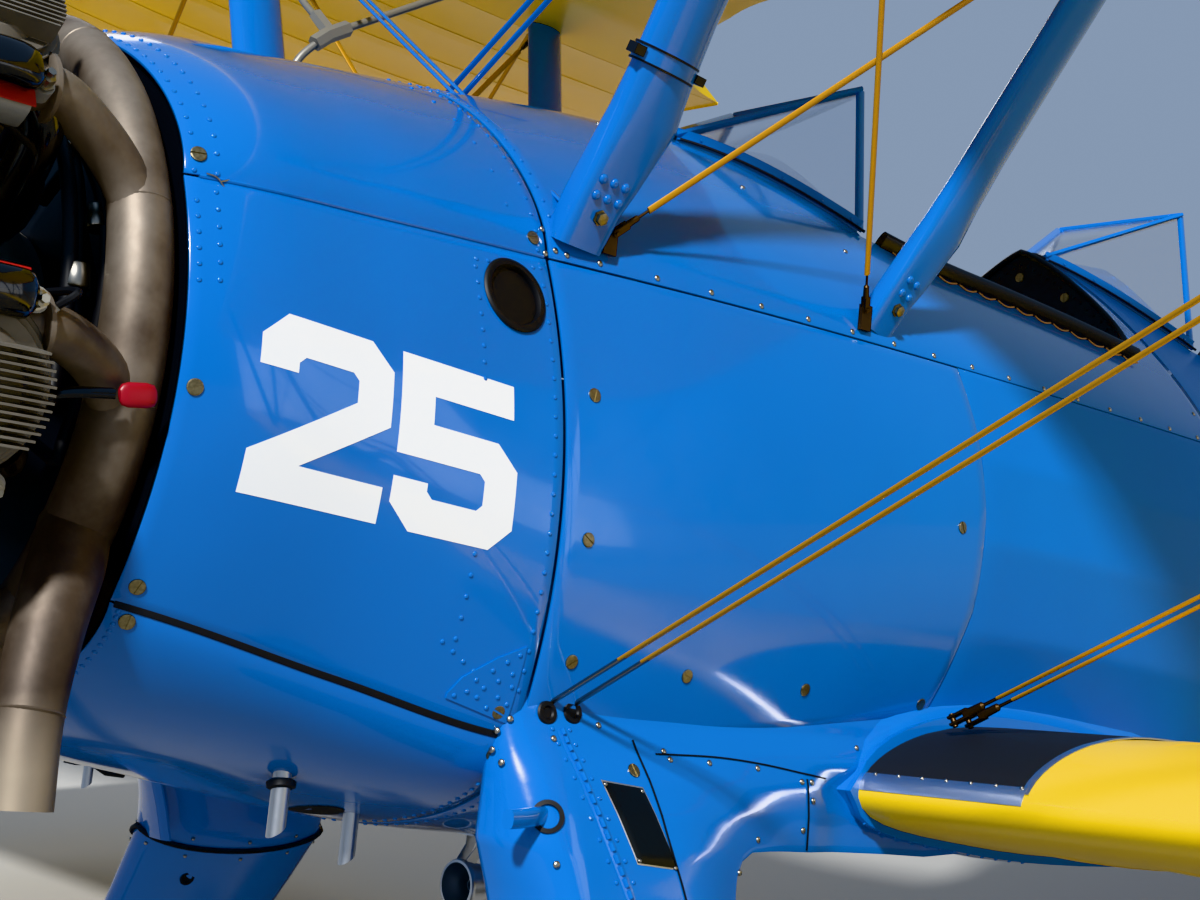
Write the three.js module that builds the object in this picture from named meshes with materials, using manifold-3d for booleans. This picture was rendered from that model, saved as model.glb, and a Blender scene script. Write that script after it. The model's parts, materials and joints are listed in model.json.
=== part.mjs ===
// Open two-seat training biplane with a seven-cylinder radial engine, standing on its three wheels.
// Millimetres. Everything is drawn in the aircraft's own level frame: x runs aft from the firewall,
// y to starboard, z up from the propeller's thrust line. The last lines tip the whole aircraft back
// onto its tail wheel and move it over the origin, so that +Z is up and the ground is z = 0.
import * as THREE from "three";
import { mergeVertices } from "three/addons/utils/BufferGeometryUtils.js";
import Module from "manifold-3d";

const wasm = await Module();
wasm.setup();

// Driving dimensions
const SPAN_UPPER = 9804;
const SPAN_LOWER = 9500;
const CHORD = 1524;
const GAP = 0.4; // clearance between neighbouring solids
const GROUND_ATTITUDE = THREE.MathUtils.degToRad(11);
const PROPELLER_RADIUS = 1295;
const WHEEL_RADIUS = 305;
const TAIL_WHEEL_RADIUS = 130;
const AXLE = { x: 150, z: -1222 };
const TRACK_HALF = 965;
const MOVING_GAP = 9; // round nose of a control surface to its cove

// Materials
const paint = (color, roughness = 0.3, metalness = 0) =>
  new THREE.MeshStandardMaterial({ color, roughness, metalness });
const BLUE = paint(0x1b6fd0);
const YELLOW = paint(0xe8b414);
const BLACK = paint(0x111111, 0.5);
const STEEL = paint(0x8a8a86, 0.4, 0.8);
const ALUMINIUM = paint(0xb9bcc0, 0.35, 0.9);
const BRONZED_STEEL = paint(0x7d6a58, 0.45, 0.8);
const RUBBER = paint(0x1a1a1a, 0.9);
const GLASS = paint(0xbfd0d8, 0.05);
const GREEN_PRIMER = paint(0x5a6b3c, 0.6);

// Geometry tools
const stripped = (geometry) => {
  const plain = new THREE.BufferGeometry();
  plain.setAttribute("position", geometry.getAttribute("position").clone());
  if (geometry.index) plain.setIndex(geometry.index.clone());
  return mergeVertices(plain, 1e-3);
};

const signedVolume = (geometry) => {
  const p = geometry.getAttribute("position");
  const [a, b, c] = [new THREE.Vector3(), new THREE.Vector3(), new THREE.Vector3()];
  let volume = 0;
  for (let i = 0; i < geometry.index.count; i += 3) {
    a.fromBufferAttribute(p, geometry.index.getX(i));
    b.fromBufferAttribute(p, geometry.index.getX(i + 1));
    c.fromBufferAttribute(p, geometry.index.getX(i + 2));
    volume += a.dot(b.cross(c)) / 6;
  }
  return volume;
};

// A closed geometry whose faces point out, whichever way its rings were listed.
const facingOut = (geometry) => {
  const closed = stripped(geometry);
  if (signedVolume(closed) < 0) {
    const index = closed.index.array;
    for (let i = 0; i < index.length; i += 3) [index[i + 1], index[i + 2]] = [index[i + 2], index[i + 1]];
  }
  return closed;
};

// A skin over rings of [x, y, z] points, all with the same count, closed at both ends.
function loft(rings) {
  const count = rings[0].length;
  const points = rings.flat();
  const index = [];
  for (let i = 0; i < rings.length - 1; i++) {
    for (let j = 0; j < count; j++) {
      const a = i * count + j;
      const b = i * count + ((j + 1) % count);
      const [c, d] = [b + count, a + count];
      const span = (m, n) => Math.hypot(...points[m].map((value, k) => value - points[n][k]));
      // The shorter diagonal, so that mirrored skins are split alike.
      if (span(a, c) <= span(b, d)) index.push(a, b, c, a, c, d);
      else index.push(a, b, d, b, c, d);
    }
  }
  const centre = (ring) => [0, 1, 2].map((k) => ring.reduce((sum, p) => sum + p[k], 0) / count);
  const last = (rings.length - 1) * count;
  points.push(centre(rings[0]), centre(rings.at(-1)));
  for (let j = 0; j < count; j++) {
    const next = (j + 1) % count;
    index.push(points.length - 2, next, j, points.length - 1, last + j, last + next);
  }
  const geometry = new THREE.BufferGeometry();
  geometry.setAttribute("position", new THREE.BufferAttribute(new Float32Array(points.flat()), 3));
  geometry.setIndex(index);
  return facingOut(geometry);
}

const toSolid = (geometry) => {
  const g = facingOut(geometry);
  return new wasm.Manifold(new wasm.Mesh({
    numProp: 3,
    vertProperties: g.getAttribute("position").array,
    triVerts: new Uint32Array(g.index.array),
  }));
};
const toGeometry = (solid) => {
  const mesh = solid.getMesh();
  const geometry = new THREE.BufferGeometry();
  geometry.setAttribute("position", new THREE.BufferAttribute(mesh.vertProperties, 3));
  geometry.setIndex(new THREE.BufferAttribute(mesh.triVerts, 1));
  return geometry;
};
const join = (...all) => toGeometry(all.map(toSolid).reduce((a, b) => a.add(b)));
const cut = (body, ...tools) => toGeometry(tools.map(toSolid).reduce((a, b) => a.subtract(b), toSolid(body)));
const common = (a, b) => toGeometry(toSolid(a).intersect(toSolid(b)));
const mirrored = (geometry) => facingOut(geometry.clone().scale(1, -1, 1));

// A block between two corners.
const block = (x0, x1, y0, y1, z0, z1) =>
  new THREE.BoxGeometry(x1 - x0, y1 - y0, z1 - z0).translate((x0 + x1) / 2, (y0 + y1) / 2, (z0 + z1) / 2);
// A straight-sided prism along y over a side-view outline of [x, z], or along z over a plan of [x, y].
const prismAlongY = (outline, y0, y1) =>
  loft([y0, y1].map((y) => outline.map(([x, z]) => [x, y, z])));
const prismAlongZ = (plan, z0, z1) =>
  loft([z0, z1].map((z) => plan.map(([x, y]) => [x, y, z])));

// A bar of oval section from p to q. The section's long side lies as near to the x axis as it can.
function ovalBar(p, q, chord, thickness, sides = 12, endScale = 1) {
  const from = new THREE.Vector3(...p);
  const to = new THREE.Vector3(...q);
  const along = to.clone().sub(from).normalize();
  const lengthwise = Math.abs(along.x) > 0.95 ? new THREE.Vector3(0, 0, 1) : new THREE.Vector3(1, 0, 0);
  const u = lengthwise.sub(along.clone().multiplyScalar(lengthwise.dot(along))).normalize();
  const v = along.clone().cross(u);
  const ring = (at, scale) => Array.from({ length: sides }, (_, i) => {
    const turn = (2 * Math.PI * i) / sides;
    return at.clone()
      .addScaledVector(u, (Math.cos(turn) * chord * scale) / 2)
      .addScaledVector(v, (Math.sin(turn) * thickness * scale) / 2).toArray();
  });
  return loft([ring(from, 1), ring(to, endScale)]);
}
const rod = (p, q, radius, sides = 10) => ovalBar(p, q, 2 * radius, 2 * radius, sides);

// A turned solid about a line through `at` along `direction`; profile is [along, radius] from end to end.
function turned(profile, at, direction, sides = 20) {
  const outline = [[profile[0][0], 0], ...profile, [profile.at(-1)[0], 0]];
  const geometry = new THREE.LatheGeometry(outline.map(([along, radius]) => new THREE.Vector2(radius, along)), sides);
  const turn = new THREE.Quaternion().setFromUnitVectors(
    new THREE.Vector3(0, 1, 0), new THREE.Vector3(...direction).normalize());
  return facingOut(geometry.applyQuaternion(turn).translate(...at));
}

// Fuselage sections. Each column is a size of one cross-section at distance x from the firewall:
// crown height and its roundness, hinge-line half width and height, widest half width and its height,
// lower corner half width and height, bottom height and its roundness.
const COLUMNS = ["x", "crown", "round", "hingeW", "hingeZ", "midW", "midZ", "lowW", "lowZ", "bottom", "belly"];
const table = (rows) => rows.map((row) => Object.fromEntries(COLUMNS.map((name, i) => [name, row[i]])));
const COWL = table([
  [-546, 409, 1.66, 384, 180, 431, -22, 342, -298, -453, 1.57],
  [-520, 420, 1.66, 391, 181, 438, -24, 350, -303, -465, 1.6],
  [-270, 468, 1.6, 391, 194, 452, -66, 384, -360, -524, 1.8],
  [0, 508, 1.5, 380, 208, 459, -113, 414, -416, -566, 2],
]);
const FUSELAGE = table([
  [0, 508, 1.5, 380, 208, 459, -113, 414, -416, -566, 2],
  [300, 553, 1.4, 400, 214, 470, -105, 428, -400, -582, 2.2],
  [880, 602, 1.3, 415, 220, 476, -91, 424, -345, -586, 2.3],
  [1640, 626, 1.22, 430, 216, 474, -90, 405, -370, -586, 2.3],
  [2240, 640, 1.25, 418, 212, 450, -95, 372, -370, -574, 2.2],
  [2760, 596, 1.4, 388, 210, 414, -95, 332, -350, -545, 2.2],
  [3600, 500, 1.6, 318, 216, 338, -60, 268, -290, -440, 2.1],
  [4700, 384, 1.8, 198, 226, 212, 20, 164, -150, -236, 2],
  [5655, 292, 1.9, 40, 236, 46, 90, 34, -40, -78, 2],
]);
const COWL_WALL = 10;
const FUSELAGE_WALL = 18;
const CABIN = { from: 14, to: 2790 };

// Superellipse point: share of half width and of height at a turn of t.
const arch = (t, power) => [
  Math.sign(Math.cos(t)) * Math.abs(Math.cos(t)) ** (2 / power),
  Math.abs(Math.sin(t)) ** (2 / power),
];

function sectionRing(s, grow = 0) {
  const hingeW = s.hingeW + grow;
  const lowW = s.lowW + grow;
  const points = [];
  for (let i = 0; i <= 12; i++) {
    const [across, up] = arch((Math.PI * i) / 12, s.round);
    points.push([s.x, across * hingeW, s.hingeZ + up * (s.crown + grow - s.hingeZ)]);
  }
  // Side: a parabola through hinge, widest and lower corner, in quarters.
  const side = (share) => {
    const z = s.hingeZ + (s.lowZ - s.hingeZ) * share;
    const [a, b, c] = [s.hingeZ, s.midZ, s.lowZ];
    const width = (hingeW * (z - b) * (z - c)) / ((a - b) * (a - c))
      + ((s.midW + grow) * (z - a) * (z - c)) / ((b - a) * (b - c))
      + (lowW * (z - a) * (z - b)) / ((c - a) * (c - b));
    return [width, z];
  };
  const quarters = [0.25, 0.5, 0.75].map(side);
  for (const [width, z] of quarters) points.push([s.x, -width, z]);
  for (let i = 0; i <= 8; i++) {
    const [across, down] = arch((Math.PI * i) / 8, s.belly);
    points.push([s.x, -across * lowW, s.lowZ + down * (s.bottom - grow - s.lowZ)]);
  }
  for (const [width, z] of quarters.reverse()) points.push([s.x, width, z]);
  return points;
}

// The section at any x, between the two nearest in the table.
function sectionAt(rows, x) {
  const i = Math.max(1, rows.findIndex((row) => row.x >= x));
  const [a, b] = [rows[i - 1], rows[i]];
  const share = (x - a.x) / (b.x - a.x);
  return Object.fromEntries(COLUMNS.map((name) => [name, a[name] + (b[name] - a[name]) * share]));
}
function skin(rows, from, to, grow = 0) {
  const inside = rows.filter((row) => row.x > from && row.x < to);
  const all = [sectionAt(rows, from), ...inside, sectionAt(rows, to)];
  return loft(all.map((row) => sectionRing(row, grow)));
}
const FUSELAGE_OUTSIDE = loft([...FUSELAGE, { ...FUSELAGE.at(-1), x: FUSELAGE.at(-1).x + GAP }]
  .map((row) => sectionRing(row, GAP)));
const COWL_OUTSIDE = skin(COWL, COWL[0].x, 0, GAP);
const clearOfFuselage = (geometry) => cut(geometry, FUSELAGE_OUTSIDE, COWL_OUTSIDE);

// Side-view lines where the metal panels meet: upper hinge line and lower edge.
const hingeLine = (x) => (x < 0 ? sectionAt(COWL, x) : sectionAt(FUSELAGE, x)).hingeZ;
const lowerLine = (x) => (x < 0 ? sectionAt(COWL, x) : sectionAt(FUSELAGE, x)).lowZ;
const WIDE = 700;
const ABOVE = 900;
const between = (x0, x1, low, high, y0 = -WIDE, y1 = WIDE) =>
  prismAlongY([[x0, low(x0)], [x1, low(x1)], [x1, high(x1)], [x0, high(x0)]], y0, y1);

const parts = [];
const add = (name, geometry, material) => parts.push([name, geometry, material]);
const addPair = (name, port, material) => {
  add(`${name}_left`, port, material);
  add(`${name}_right`, mirrored(port), material);
};

// Accessory cowl: top, two hinged sides and a bottom, round at the engine and boxier at the firewall.
const cowlSpace = (inset) => loft([
  sectionRing({ ...COWL[0], x: COWL[0].x - 10 }, -COWL_WALL - inset),
  ...COWL.slice(0, -1).map((row) => sectionRing(row, -COWL_WALL - inset)),
  sectionRing({ ...COWL.at(-1), x: 10 }, -COWL_WALL - inset),
]);
function addCowl() {
  const front = COWL[0].x;
  const back = -GAP;
  const outer = skin(COWL, front, back);
  const shell = cut(outer, cowlSpace(0));
  const [x0, x1] = [front - 20, 10];
  const hinge = (x) => THREE.MathUtils.mapLinear(x, front, 0, COWL[0].hingeZ, COWL.at(-1).hingeZ);
  const low = (x) => THREE.MathUtils.mapLinear(x, front, 0, COWL[0].lowZ, COWL.at(-1).lowZ);
  const line = (edge, shift) => (x) => edge(x) + shift;
  add("cowl_top", common(shell, between(x0, x1, line(hinge, GAP / 2), () => ABOVE)), BLUE);
  addPair("cowl_side", common(shell, between(x0, x1, line(low, GAP / 2), line(hinge, -GAP / 2), -WIDE, -1)), BLUE);
  add("cowl_bottom", common(shell, between(x0, x1, () => -ABOVE, line(low, -GAP / 2))), BLUE);
}

// Hollow fuselage: metal deck and side panels in front, fabric-covered frame behind.
const DECK_END = 1700;
const SIDE_PANEL_END = 880;
const COCKPIT_PITCH = 1113; // rear cockpit is this far aft of the front one
// Cockpit opening in plan: x and half width, from the windshield aft.
const OPENING = [[800, 246], [950, 280], [1350, 308], [1545, 326], [1605, 250], [1622, 120]];
const openingPlan = (shift, narrow) => [
  ...OPENING.map(([x, half]) => [x + shift, -half * narrow]),
  ...OPENING.map(([x, half]) => [x + shift, half * narrow]).reverse(),
];
// The hollow inside the fuselage's wall, from ahead of the firewall to behind the rear cockpit.
const cabinSpace = (inset) => loft([
  sectionRing({ ...FUSELAGE[0], x: -20 }, -FUSELAGE_WALL - inset),
  ...FUSELAGE.filter((row) => row.x < CABIN.to).map((row) => sectionRing(row, -FUSELAGE_WALL - inset)),
  sectionRing(sectionAt(FUSELAGE, CABIN.to - inset), -FUSELAGE_WALL - inset),
]);
function addFuselage() {
  const outer = skin(FUSELAGE, 0, FUSELAGE.at(-1).x);
  const cabin = cabinSpace(0);
  const openings = [openingPlan(0, 1), openingPlan(COCKPIT_PITCH, 0.96)].map((plan) => prismAlongZ(plan, 230, ABOVE));
  const tubeHole = rod([ELEVATOR_HINGE.x, -300, ELEVATOR_HINGE.z], [ELEVATOR_HINGE.x, 300, ELEVATOR_HINGE.z], 29);
  const hull = cut(outer, cabin, ...openings, tubeHole);
  const hinge = (shift) => (x) => THREE.MathUtils.mapLinear(x, 0, DECK_END, 210, 218) + shift;
  const low = (shift) => (x) => THREE.MathUtils.mapLinear(x, 0, SIDE_PANEL_END, -416, -345) + shift;
  const deck = (grow) => between(-10, DECK_END + grow, hinge(GAP / 2 - grow), () => ABOVE);
  const panels = (grow) => between(-10, SIDE_PANEL_END + grow, low(GAP / 2 - grow), hinge(grow - GAP / 2));
  add("forward_deck", common(hull, deck(0)), BLUE);
  addPair("side_panel", common(common(hull, panels(0)), block(-20, DECK_END, -WIDE, -1, -ABOVE, ABOVE)), BLUE);
  add("aft_fuselage", cut(hull, deck(GAP), panels(GAP)), BLUE);
}

// Clips a shape to the inside of the cabin, so that it meets the wall all round.
const fittedInside = (geometry) => common(geometry, cabinSpace(GAP));
const cabinWall = (x, thickness, low, high) =>
  fittedInside(block(x, x + thickness, -WIDE, WIDE, low, high));
const PANEL_X = 770;
function addCockpits() {
  add("firewall", cabinWall(22, 8, -540, 480), STEEL);
  add("front_instrument_panel", cabinWall(PANEL_X, 10, 230, 500), BLACK);
  add("rear_instrument_panel", cabinWall(PANEL_X + COCKPIT_PITCH, 10, 230, 540), BLACK);
  add("front_cockpit_back_wall", cabinWall(1632, 8, 225, 560), BLACK);
  for (const [name, shift] of [["front_seat", 0], ["rear_seat", COCKPIT_PITCH]]) {
    const half = 200;
    const pan = block(1240, 1560, -half, half, -190, -170);
    const back = prismAlongY([[1540, -190], [1560, -190], [1612, 300], [1592, 300]], -half, half);
    const walls = [-1, 1].map((side) => prismAlongY(
      [[1240, -190], [1560, -190], [1600, 190], [1560, 190], [1500, -60], [1240, -90]],
      Math.min(side * half, side * (half - 10)), Math.max(side * half, side * (half - 10))));
    const legs = [1270, 1520].flatMap((x) => [-150, 150].map((y) => block(x, x + 24, y - 12, y + 12, -600, -180)));
    add(name, fittedInside(join(pan, back, ...walls, ...legs).translate(shift, 0, 0)), GREEN_PRIMER);
  }
}

// Windshield: a raked centre pane, narrow at its foot, and two triangular side panes, in one frame.
const WINDSHIELD = { foot: [560, 24, 572], top: [882, 150, 733], side: [806, 236, 449] };
function addWindshields() {
  const { foot, top, side } = WINDSHIELD;
  const at = ([x, y, z], hand) => [x, y * hand, z];
  const pane = (corners, push) => {
    const [a, b, c] = corners.map((p) => new THREE.Vector3(...p));
    const normal = b.clone().sub(a).cross(c.clone().sub(a)).setLength(push);
    return loft([-0.5, 0.5].map((s) => corners.map((p) => new THREE.Vector3(...p).addScaledVector(normal, s).toArray())));
  };
  const pieces = [pane([at(foot, -1), at(top, -1), at(top, 1), at(foot, 1)], 5)];
  for (const hand of [-1, 1]) {
    pieces.push(pane([at(foot, hand), at(top, hand), at(side, hand)], 5));
    pieces.push(ovalBar(at(foot, hand), at(top, hand), 15, 15, 4));
    pieces.push(ovalBar(at(top, hand), at(side, hand), 15, 15, 4));
    pieces.push(ovalBar(at(foot, hand), at(side, hand), 17, 17, 4));
  }
  pieces.push(ovalBar(at(top, -1), at(top, 1), 15, 15, 4));
  pieces.push(ovalBar(at(foot, -1), at(foot, 1), 17, 17, 4));
  const whole = join(...pieces);
  add("front_windshield", clearOfFuselage(whole), GLASS);
  add("rear_windshield", clearOfFuselage(whole.clone().translate(COCKPIT_PITCH, 0, 44)), GLASS);
}

// Wings. Thickness and camber follow a 13 percent section with its highest camber at 20 percent.
const UPPER = { root: 770, half: SPAN_UPPER / 2, lead: -52, z: 1134, incidence: 4, dihedral: 1.5 };
const LOWER = { root: 470, half: SPAN_LOWER / 2, lead: 640, z: -462, incidence: 3, dihedral: 2 };
const FRONT_SPAR = 0.12;
const REAR_SPAR = 0.62;
const THICKNESS = 0.13;
const halfThickness = (f) =>
  5 * THICKNESS * (0.2969 * Math.sqrt(f) - 0.126 * f - 0.3516 * f ** 2 + 0.2843 * f ** 3 - 0.1036 * f ** 4);
const camber = (f) =>
  (f < 0.2 ? (0.02 / 0.04) * (0.4 * f - f * f) : (0.02 / 0.64) * (0.6 + 0.4 * f - f * f));
const liftOf = (wing, y) => wing.z + (Math.abs(y) - wing.root) * Math.tan(THREE.MathUtils.degToRad(wing.dihedral));
// A point of the wing: chord fraction f, and height over the chord line in millimetres.
function wingPoint(wing, y, f, height, lead = 0, scale = 1) {
  const tilt = THREE.MathUtils.degToRad(wing.incidence);
  const along = lead * CHORD + f * CHORD * scale;
  return [
    wing.lead + along * Math.cos(tilt) + height * Math.sin(tilt), y,
    liftOf(wing, y) - along * Math.sin(tilt) + height * Math.cos(tilt),
  ];
}
const surface = (f, side) => CHORD * (camber(f) + side * halfThickness(f));
const CHORD_STEPS = [0.025, 0.08, 0.18, 0.32, 0.5, 0.7, 0.88];
function wingRing(wing, y, { lead = 0, scale = 1, thin = 1, grow = 0 } = {}) {
  const upper = CHORD_STEPS.map((f) => wingPoint(wing, y, f, surface(f, 1) * thin + grow, lead, scale));
  const lower = CHORD_STEPS.map((f) => wingPoint(wing, y, f, surface(f, -1) * thin - grow, lead, scale));
  return [
    wingPoint(wing, y, -grow / CHORD, 0, lead, scale), ...upper,
    wingPoint(wing, y, 1, 4 * thin + grow, lead, scale), wingPoint(wing, y, 1, -4 * thin - grow, lead, scale),
    ...lower.reverse(),
  ];
}
// Rounded tip: shares of the tip's length, where the front and the back edge curve in.
const TIP_LENGTH = 640;
const TIP_STEPS = [0, 0.35, 0.62, 0.82, 0.94, 0.995];
function tipRings(wing, hand, grow = 0) {
  return TIP_STEPS.map((s) => {
    const fall = 1 - Math.sqrt(1 - s * s);
    const scale = 1 - 0.86 * fall;
    return wingRing(wing, hand * (wing.half - TIP_LENGTH * (1 - s)),
      { lead: 0.34 * fall, scale, thin: 0.2 + 0.8 * scale, grow });
  });
}
const wingPanel = (wing, root, grow = 0) =>
  loft([wingRing(wing, -root, { grow }), ...tipRings(wing, -1, grow)]);

// Ailerons are on the lower wing only.
const AILERON = { inner: 2240, outer: 4080, hinge: 0.765 };
const AILERON_NOSE = 0.9 * halfThickness(AILERON.hinge) * CHORD;
const hingeHeight = camber(AILERON.hinge) * CHORD;
function addWings() {
  const centre = loft([
    wingRing(UPPER, -UPPER.root + GAP), wingRing(UPPER, UPPER.root - GAP),
  ].map((ring) => ring.map(([x, y, z]) => [x, y, z])));
  const cutout = prismAlongZ([
    [1620, -640], [1480, -620], [1330, -440], [1290, -200], [1290, 200], [1330, 440], [1480, 620], [1620, 640],
  ], 900, 1300);
  add("upper_wing_centre", cut(centre, cutout), YELLOW);
  addPair("upper_wing", wingPanel(UPPER, UPPER.root + GAP), YELLOW);
  const well = (y0, y1) => loft([y0, y1].map((y) => [
    wingPoint(LOWER, y, AILERON.hinge - (AILERON_NOSE + MOVING_GAP) / CHORD, -150),
    wingPoint(LOWER, y, AILERON.hinge - (AILERON_NOSE + MOVING_GAP) / CHORD, 150),
    wingPoint(LOWER, y, 1.1, 150), wingPoint(LOWER, y, 1.1, -150),
  ]));
  const lug = (y0, y1) => {
    const [from, to] = [AILERON_NOSE + MOVING_GAP + 10, AILERON_NOSE + GAP].map((back) => AILERON.hinge - back / CHORD);
    return loft([y0, y1].map((y) => [[from, -12], [from, 12], [to, 12], [to, -12]].map(([f, h]) =>
      wingPoint(LOWER, y, f, hingeHeight + h))));
  };
  const panel = join(cut(wingPanel(LOWER, 300), well(-AILERON.outer, -AILERON.inner)),
    lug(-2720, -2700), lug(-3620, -3600));
  addPair("lower_wing", clearOfFuselage(panel), YELLOW);
  const steps = [0.8, 0.87, 0.94];
  const aileronRing = (y) => {
    const nose = Array.from({ length: 7 }, (_, i) => {
      const turn = Math.PI / 2 + (Math.PI * i) / 6;
      return wingPoint(LOWER, y, AILERON.hinge + (Math.cos(turn) * AILERON_NOSE) / CHORD,
        hingeHeight + Math.sin(turn) * AILERON_NOSE);
    });
    return [
      ...nose,
      ...steps.map((f) => wingPoint(LOWER, y, f, surface(f, -1))),
      wingPoint(LOWER, y, 1, -4), wingPoint(LOWER, y, 1, 4),
      ...steps.toReversed().map((f) => wingPoint(LOWER, y, f, surface(f, 1))),
    ];
  };
  addPair("aileron", loft([aileronRing(-AILERON.outer + 8), aileronRing(-AILERON.inner - 8)]), YELLOW);
}
const clearOfWing = (geometry, wing, root) =>
  cut(geometry, wing === UPPER
    ? loft([wingRing(UPPER, -UPPER.root - 5, { grow: GAP }), wingRing(UPPER, UPPER.root + 5, { grow: GAP })])
    : wingPanel(wing, root, GAP), wingPanel(wing, root, GAP));

// Struts between the fuselage and the centre section, and the N-struts outboard.
const CABANE = [ // name, base on the deck's side, chord, thickness, spar
  ["front", [72, -378, 262], 108, 48, FRONT_SPAR],
  ["rear", [691, -398, 262], 88, 38, REAR_SPAR],
];
const CABANE_TOP_Y = -742;
const INTERPLANE_Y = -3230;
const into = 40; // how far a strut is drawn into a wing before it is cut flush
function addStruts() {
  for (const [name, base, chord, thickness, spar] of CABANE) {
    const top = wingPoint(UPPER, CABANE_TOP_Y, spar, surface(spar, -1) + into);
    const strut = ovalBar(base, top, chord, thickness, 14);
    addPair(`cabane_strut_${name}`, clearOfWing(clearOfFuselage(strut), UPPER, UPPER.root), BLUE);
  }
  const foot = (spar) => wingPoint(LOWER, INTERPLANE_Y, spar, surface(spar, 1) - into);
  const head = (spar) => wingPoint(UPPER, INTERPLANE_Y, spar, surface(spar, -1) + into);
  const frame = join(
    ovalBar(foot(FRONT_SPAR), head(FRONT_SPAR), 82, 34),
    ovalBar(foot(REAR_SPAR), head(REAR_SPAR), 82, 34),
    ovalBar(
      wingPoint(LOWER, INTERPLANE_Y, FRONT_SPAR + 0.015, surface(FRONT_SPAR, 1) + 50),
      wingPoint(UPPER, INTERPLANE_Y, REAR_SPAR - 0.015, surface(REAR_SPAR, -1) - 50), 60, 26));
  const nearby = (wing) => loft([wingRing(wing, INTERPLANE_Y - 150, { grow: GAP }), wingRing(wing, INTERPLANE_Y + 150, { grow: GAP })]);
  addPair("interplane_strut", cut(frame, nearby(UPPER), nearby(LOWER)), BLUE);
}

// Doubled flying wires: from the gear bulge to the upper front spar, and from the lower wing's root
// to the upper rear spar. Each pair is joined by the fork fittings at its ends.
function addFlyingWires() {
  const head = (spar) => wingPoint(UPPER, INTERPLANE_Y + 60, spar, surface(spar, -1) - 2);
  const pairs = [
    ["front", [60, -430, -372], head(FRONT_SPAR)],
    ["rear", [800, -520, -345], head(REAR_SPAR)],
  ];
  for (const [name, from, to] of pairs) {
    const [a, b] = [new THREE.Vector3(...from), new THREE.Vector3(...to)];
    const way = b.clone().sub(a);
    const at = (share, shift) => a.clone().addScaledVector(way, share).add(new THREE.Vector3(shift, 0, 0)).toArray();
    const near = Math.min(0.03, 60 / way.length());
    const pieces = [-17, 17].map((shift) => rod(at(near / 2, shift), at(1 - near / 2, shift), 4.5, 5));
    pieces.push(ovalBar(at(0, 0), at(near, 0), 46, 14, 6), ovalBar(at(1 - near, 0), at(1, 0), 46, 14, 6));
    const wires = clearOfFuselage(join(...pieces));
    addPair(`flying_wires_${name}`,
      cut(wires, wingPanel(LOWER, 300, GAP), wingPanel(UPPER, UPPER.root, GAP)), YELLOW);
  }
}

// Gear bulge and wing root fairing: fills the corner between fuselage, wing root and landing gear leg.
// Rings down the leg: height, front and back edge, inner and outer face.
const LEG_TOP = -655;
const BULGE = [
  [-420, -14, 650, -360, -446],
  [-500, -14, 650, -350, -486],
  [-548, -10, 600, -352, -512],
  [-575, -6, 408, -362, -522],
  [-612, -3, 368, -385, -532],
  [LEG_TOP, 0, 346, -412, -545],
];
const LEG = [
  [LEG_TOP - GAP, 0, 345, -414, -548],
  [-800, 12, 330, -520, -640],
  [-1000, 34, 290, -650, -762],
  [-1150, 52, 262, -748, -856],
  [-1236, 74, 232, -800, -880],
];
const legRing = ([z, front, back, inner, outer]) => Array.from({ length: 16 }, (_, i) => {
  const turn = (2 * Math.PI * i) / 16;
  const [along, across] = [Math.cos(turn), Math.sin(turn)];
  const taper = along > 0 ? 1 - 0.25 * along : 1;
  return [(front + back) / 2 + (along * (back - front)) / 2,
    (inner + outer) / 2 + (across * taper * (inner - outer)) / 2, z];
});
function addGear() {
  const collar = loft([-400, -462, -484].map((y, i) => wingRing(LOWER, y, { grow: [46, 34, 12][i] })));
  const bulge = loft(BULGE.map(legRing));
  const lowerWing = wingPanel(LOWER, 300, GAP);
  addPair("gear_and_root_fairing", cut(clearOfFuselage(join(bulge, collar)), lowerWing,
    block(900, 2400, -700, 0, -700, -200)), BLUE);
  const axleEnd = TRACK_HALF - 78;
  const leg = join(loft(LEG.map(legRing)), rod([AXLE.x, -820, AXLE.z], [AXLE.x, -(TRACK_HALF + 60), AXLE.z], 26, 12),
    turned([[0, 62], [40, 62]], [AXLE.x, -axleEnd + 34, AXLE.z], [0, -1, 0], 16));
  addPair("gear_leg", leg, BLUE);
}

// Main wheels: a balloon tyre on a dished hub that turns on the axle with a running gap.
const wheelProfile = (radius, width, bead) => [
  [-0.30 * width, bead], [-0.46 * width, bead + 0.22 * (radius - bead)], [-0.5 * width, bead + 0.5 * (radius - bead)],
  [-0.42 * width, bead + 0.8 * (radius - bead)], [-0.22 * width, bead + 0.965 * (radius - bead)], [0, radius],
  [0.22 * width, bead + 0.965 * (radius - bead)], [0.42 * width, bead + 0.8 * (radius - bead)],
  [0.5 * width, bead + 0.5 * (radius - bead)], [0.46 * width, bead + 0.22 * (radius - bead)], [0.30 * width, bead],
];
function ringBody(profile, at, direction, sides) {
  const points = profile.map(([along, radius]) => new THREE.Vector2(radius, along));
  points.push(points[0].clone());
  const turn = new THREE.Quaternion().setFromUnitVectors(new THREE.Vector3(0, 1, 0), new THREE.Vector3(...direction));
  return facingOut(new THREE.LatheGeometry(points, sides).applyQuaternion(turn).translate(...at));
}
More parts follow.
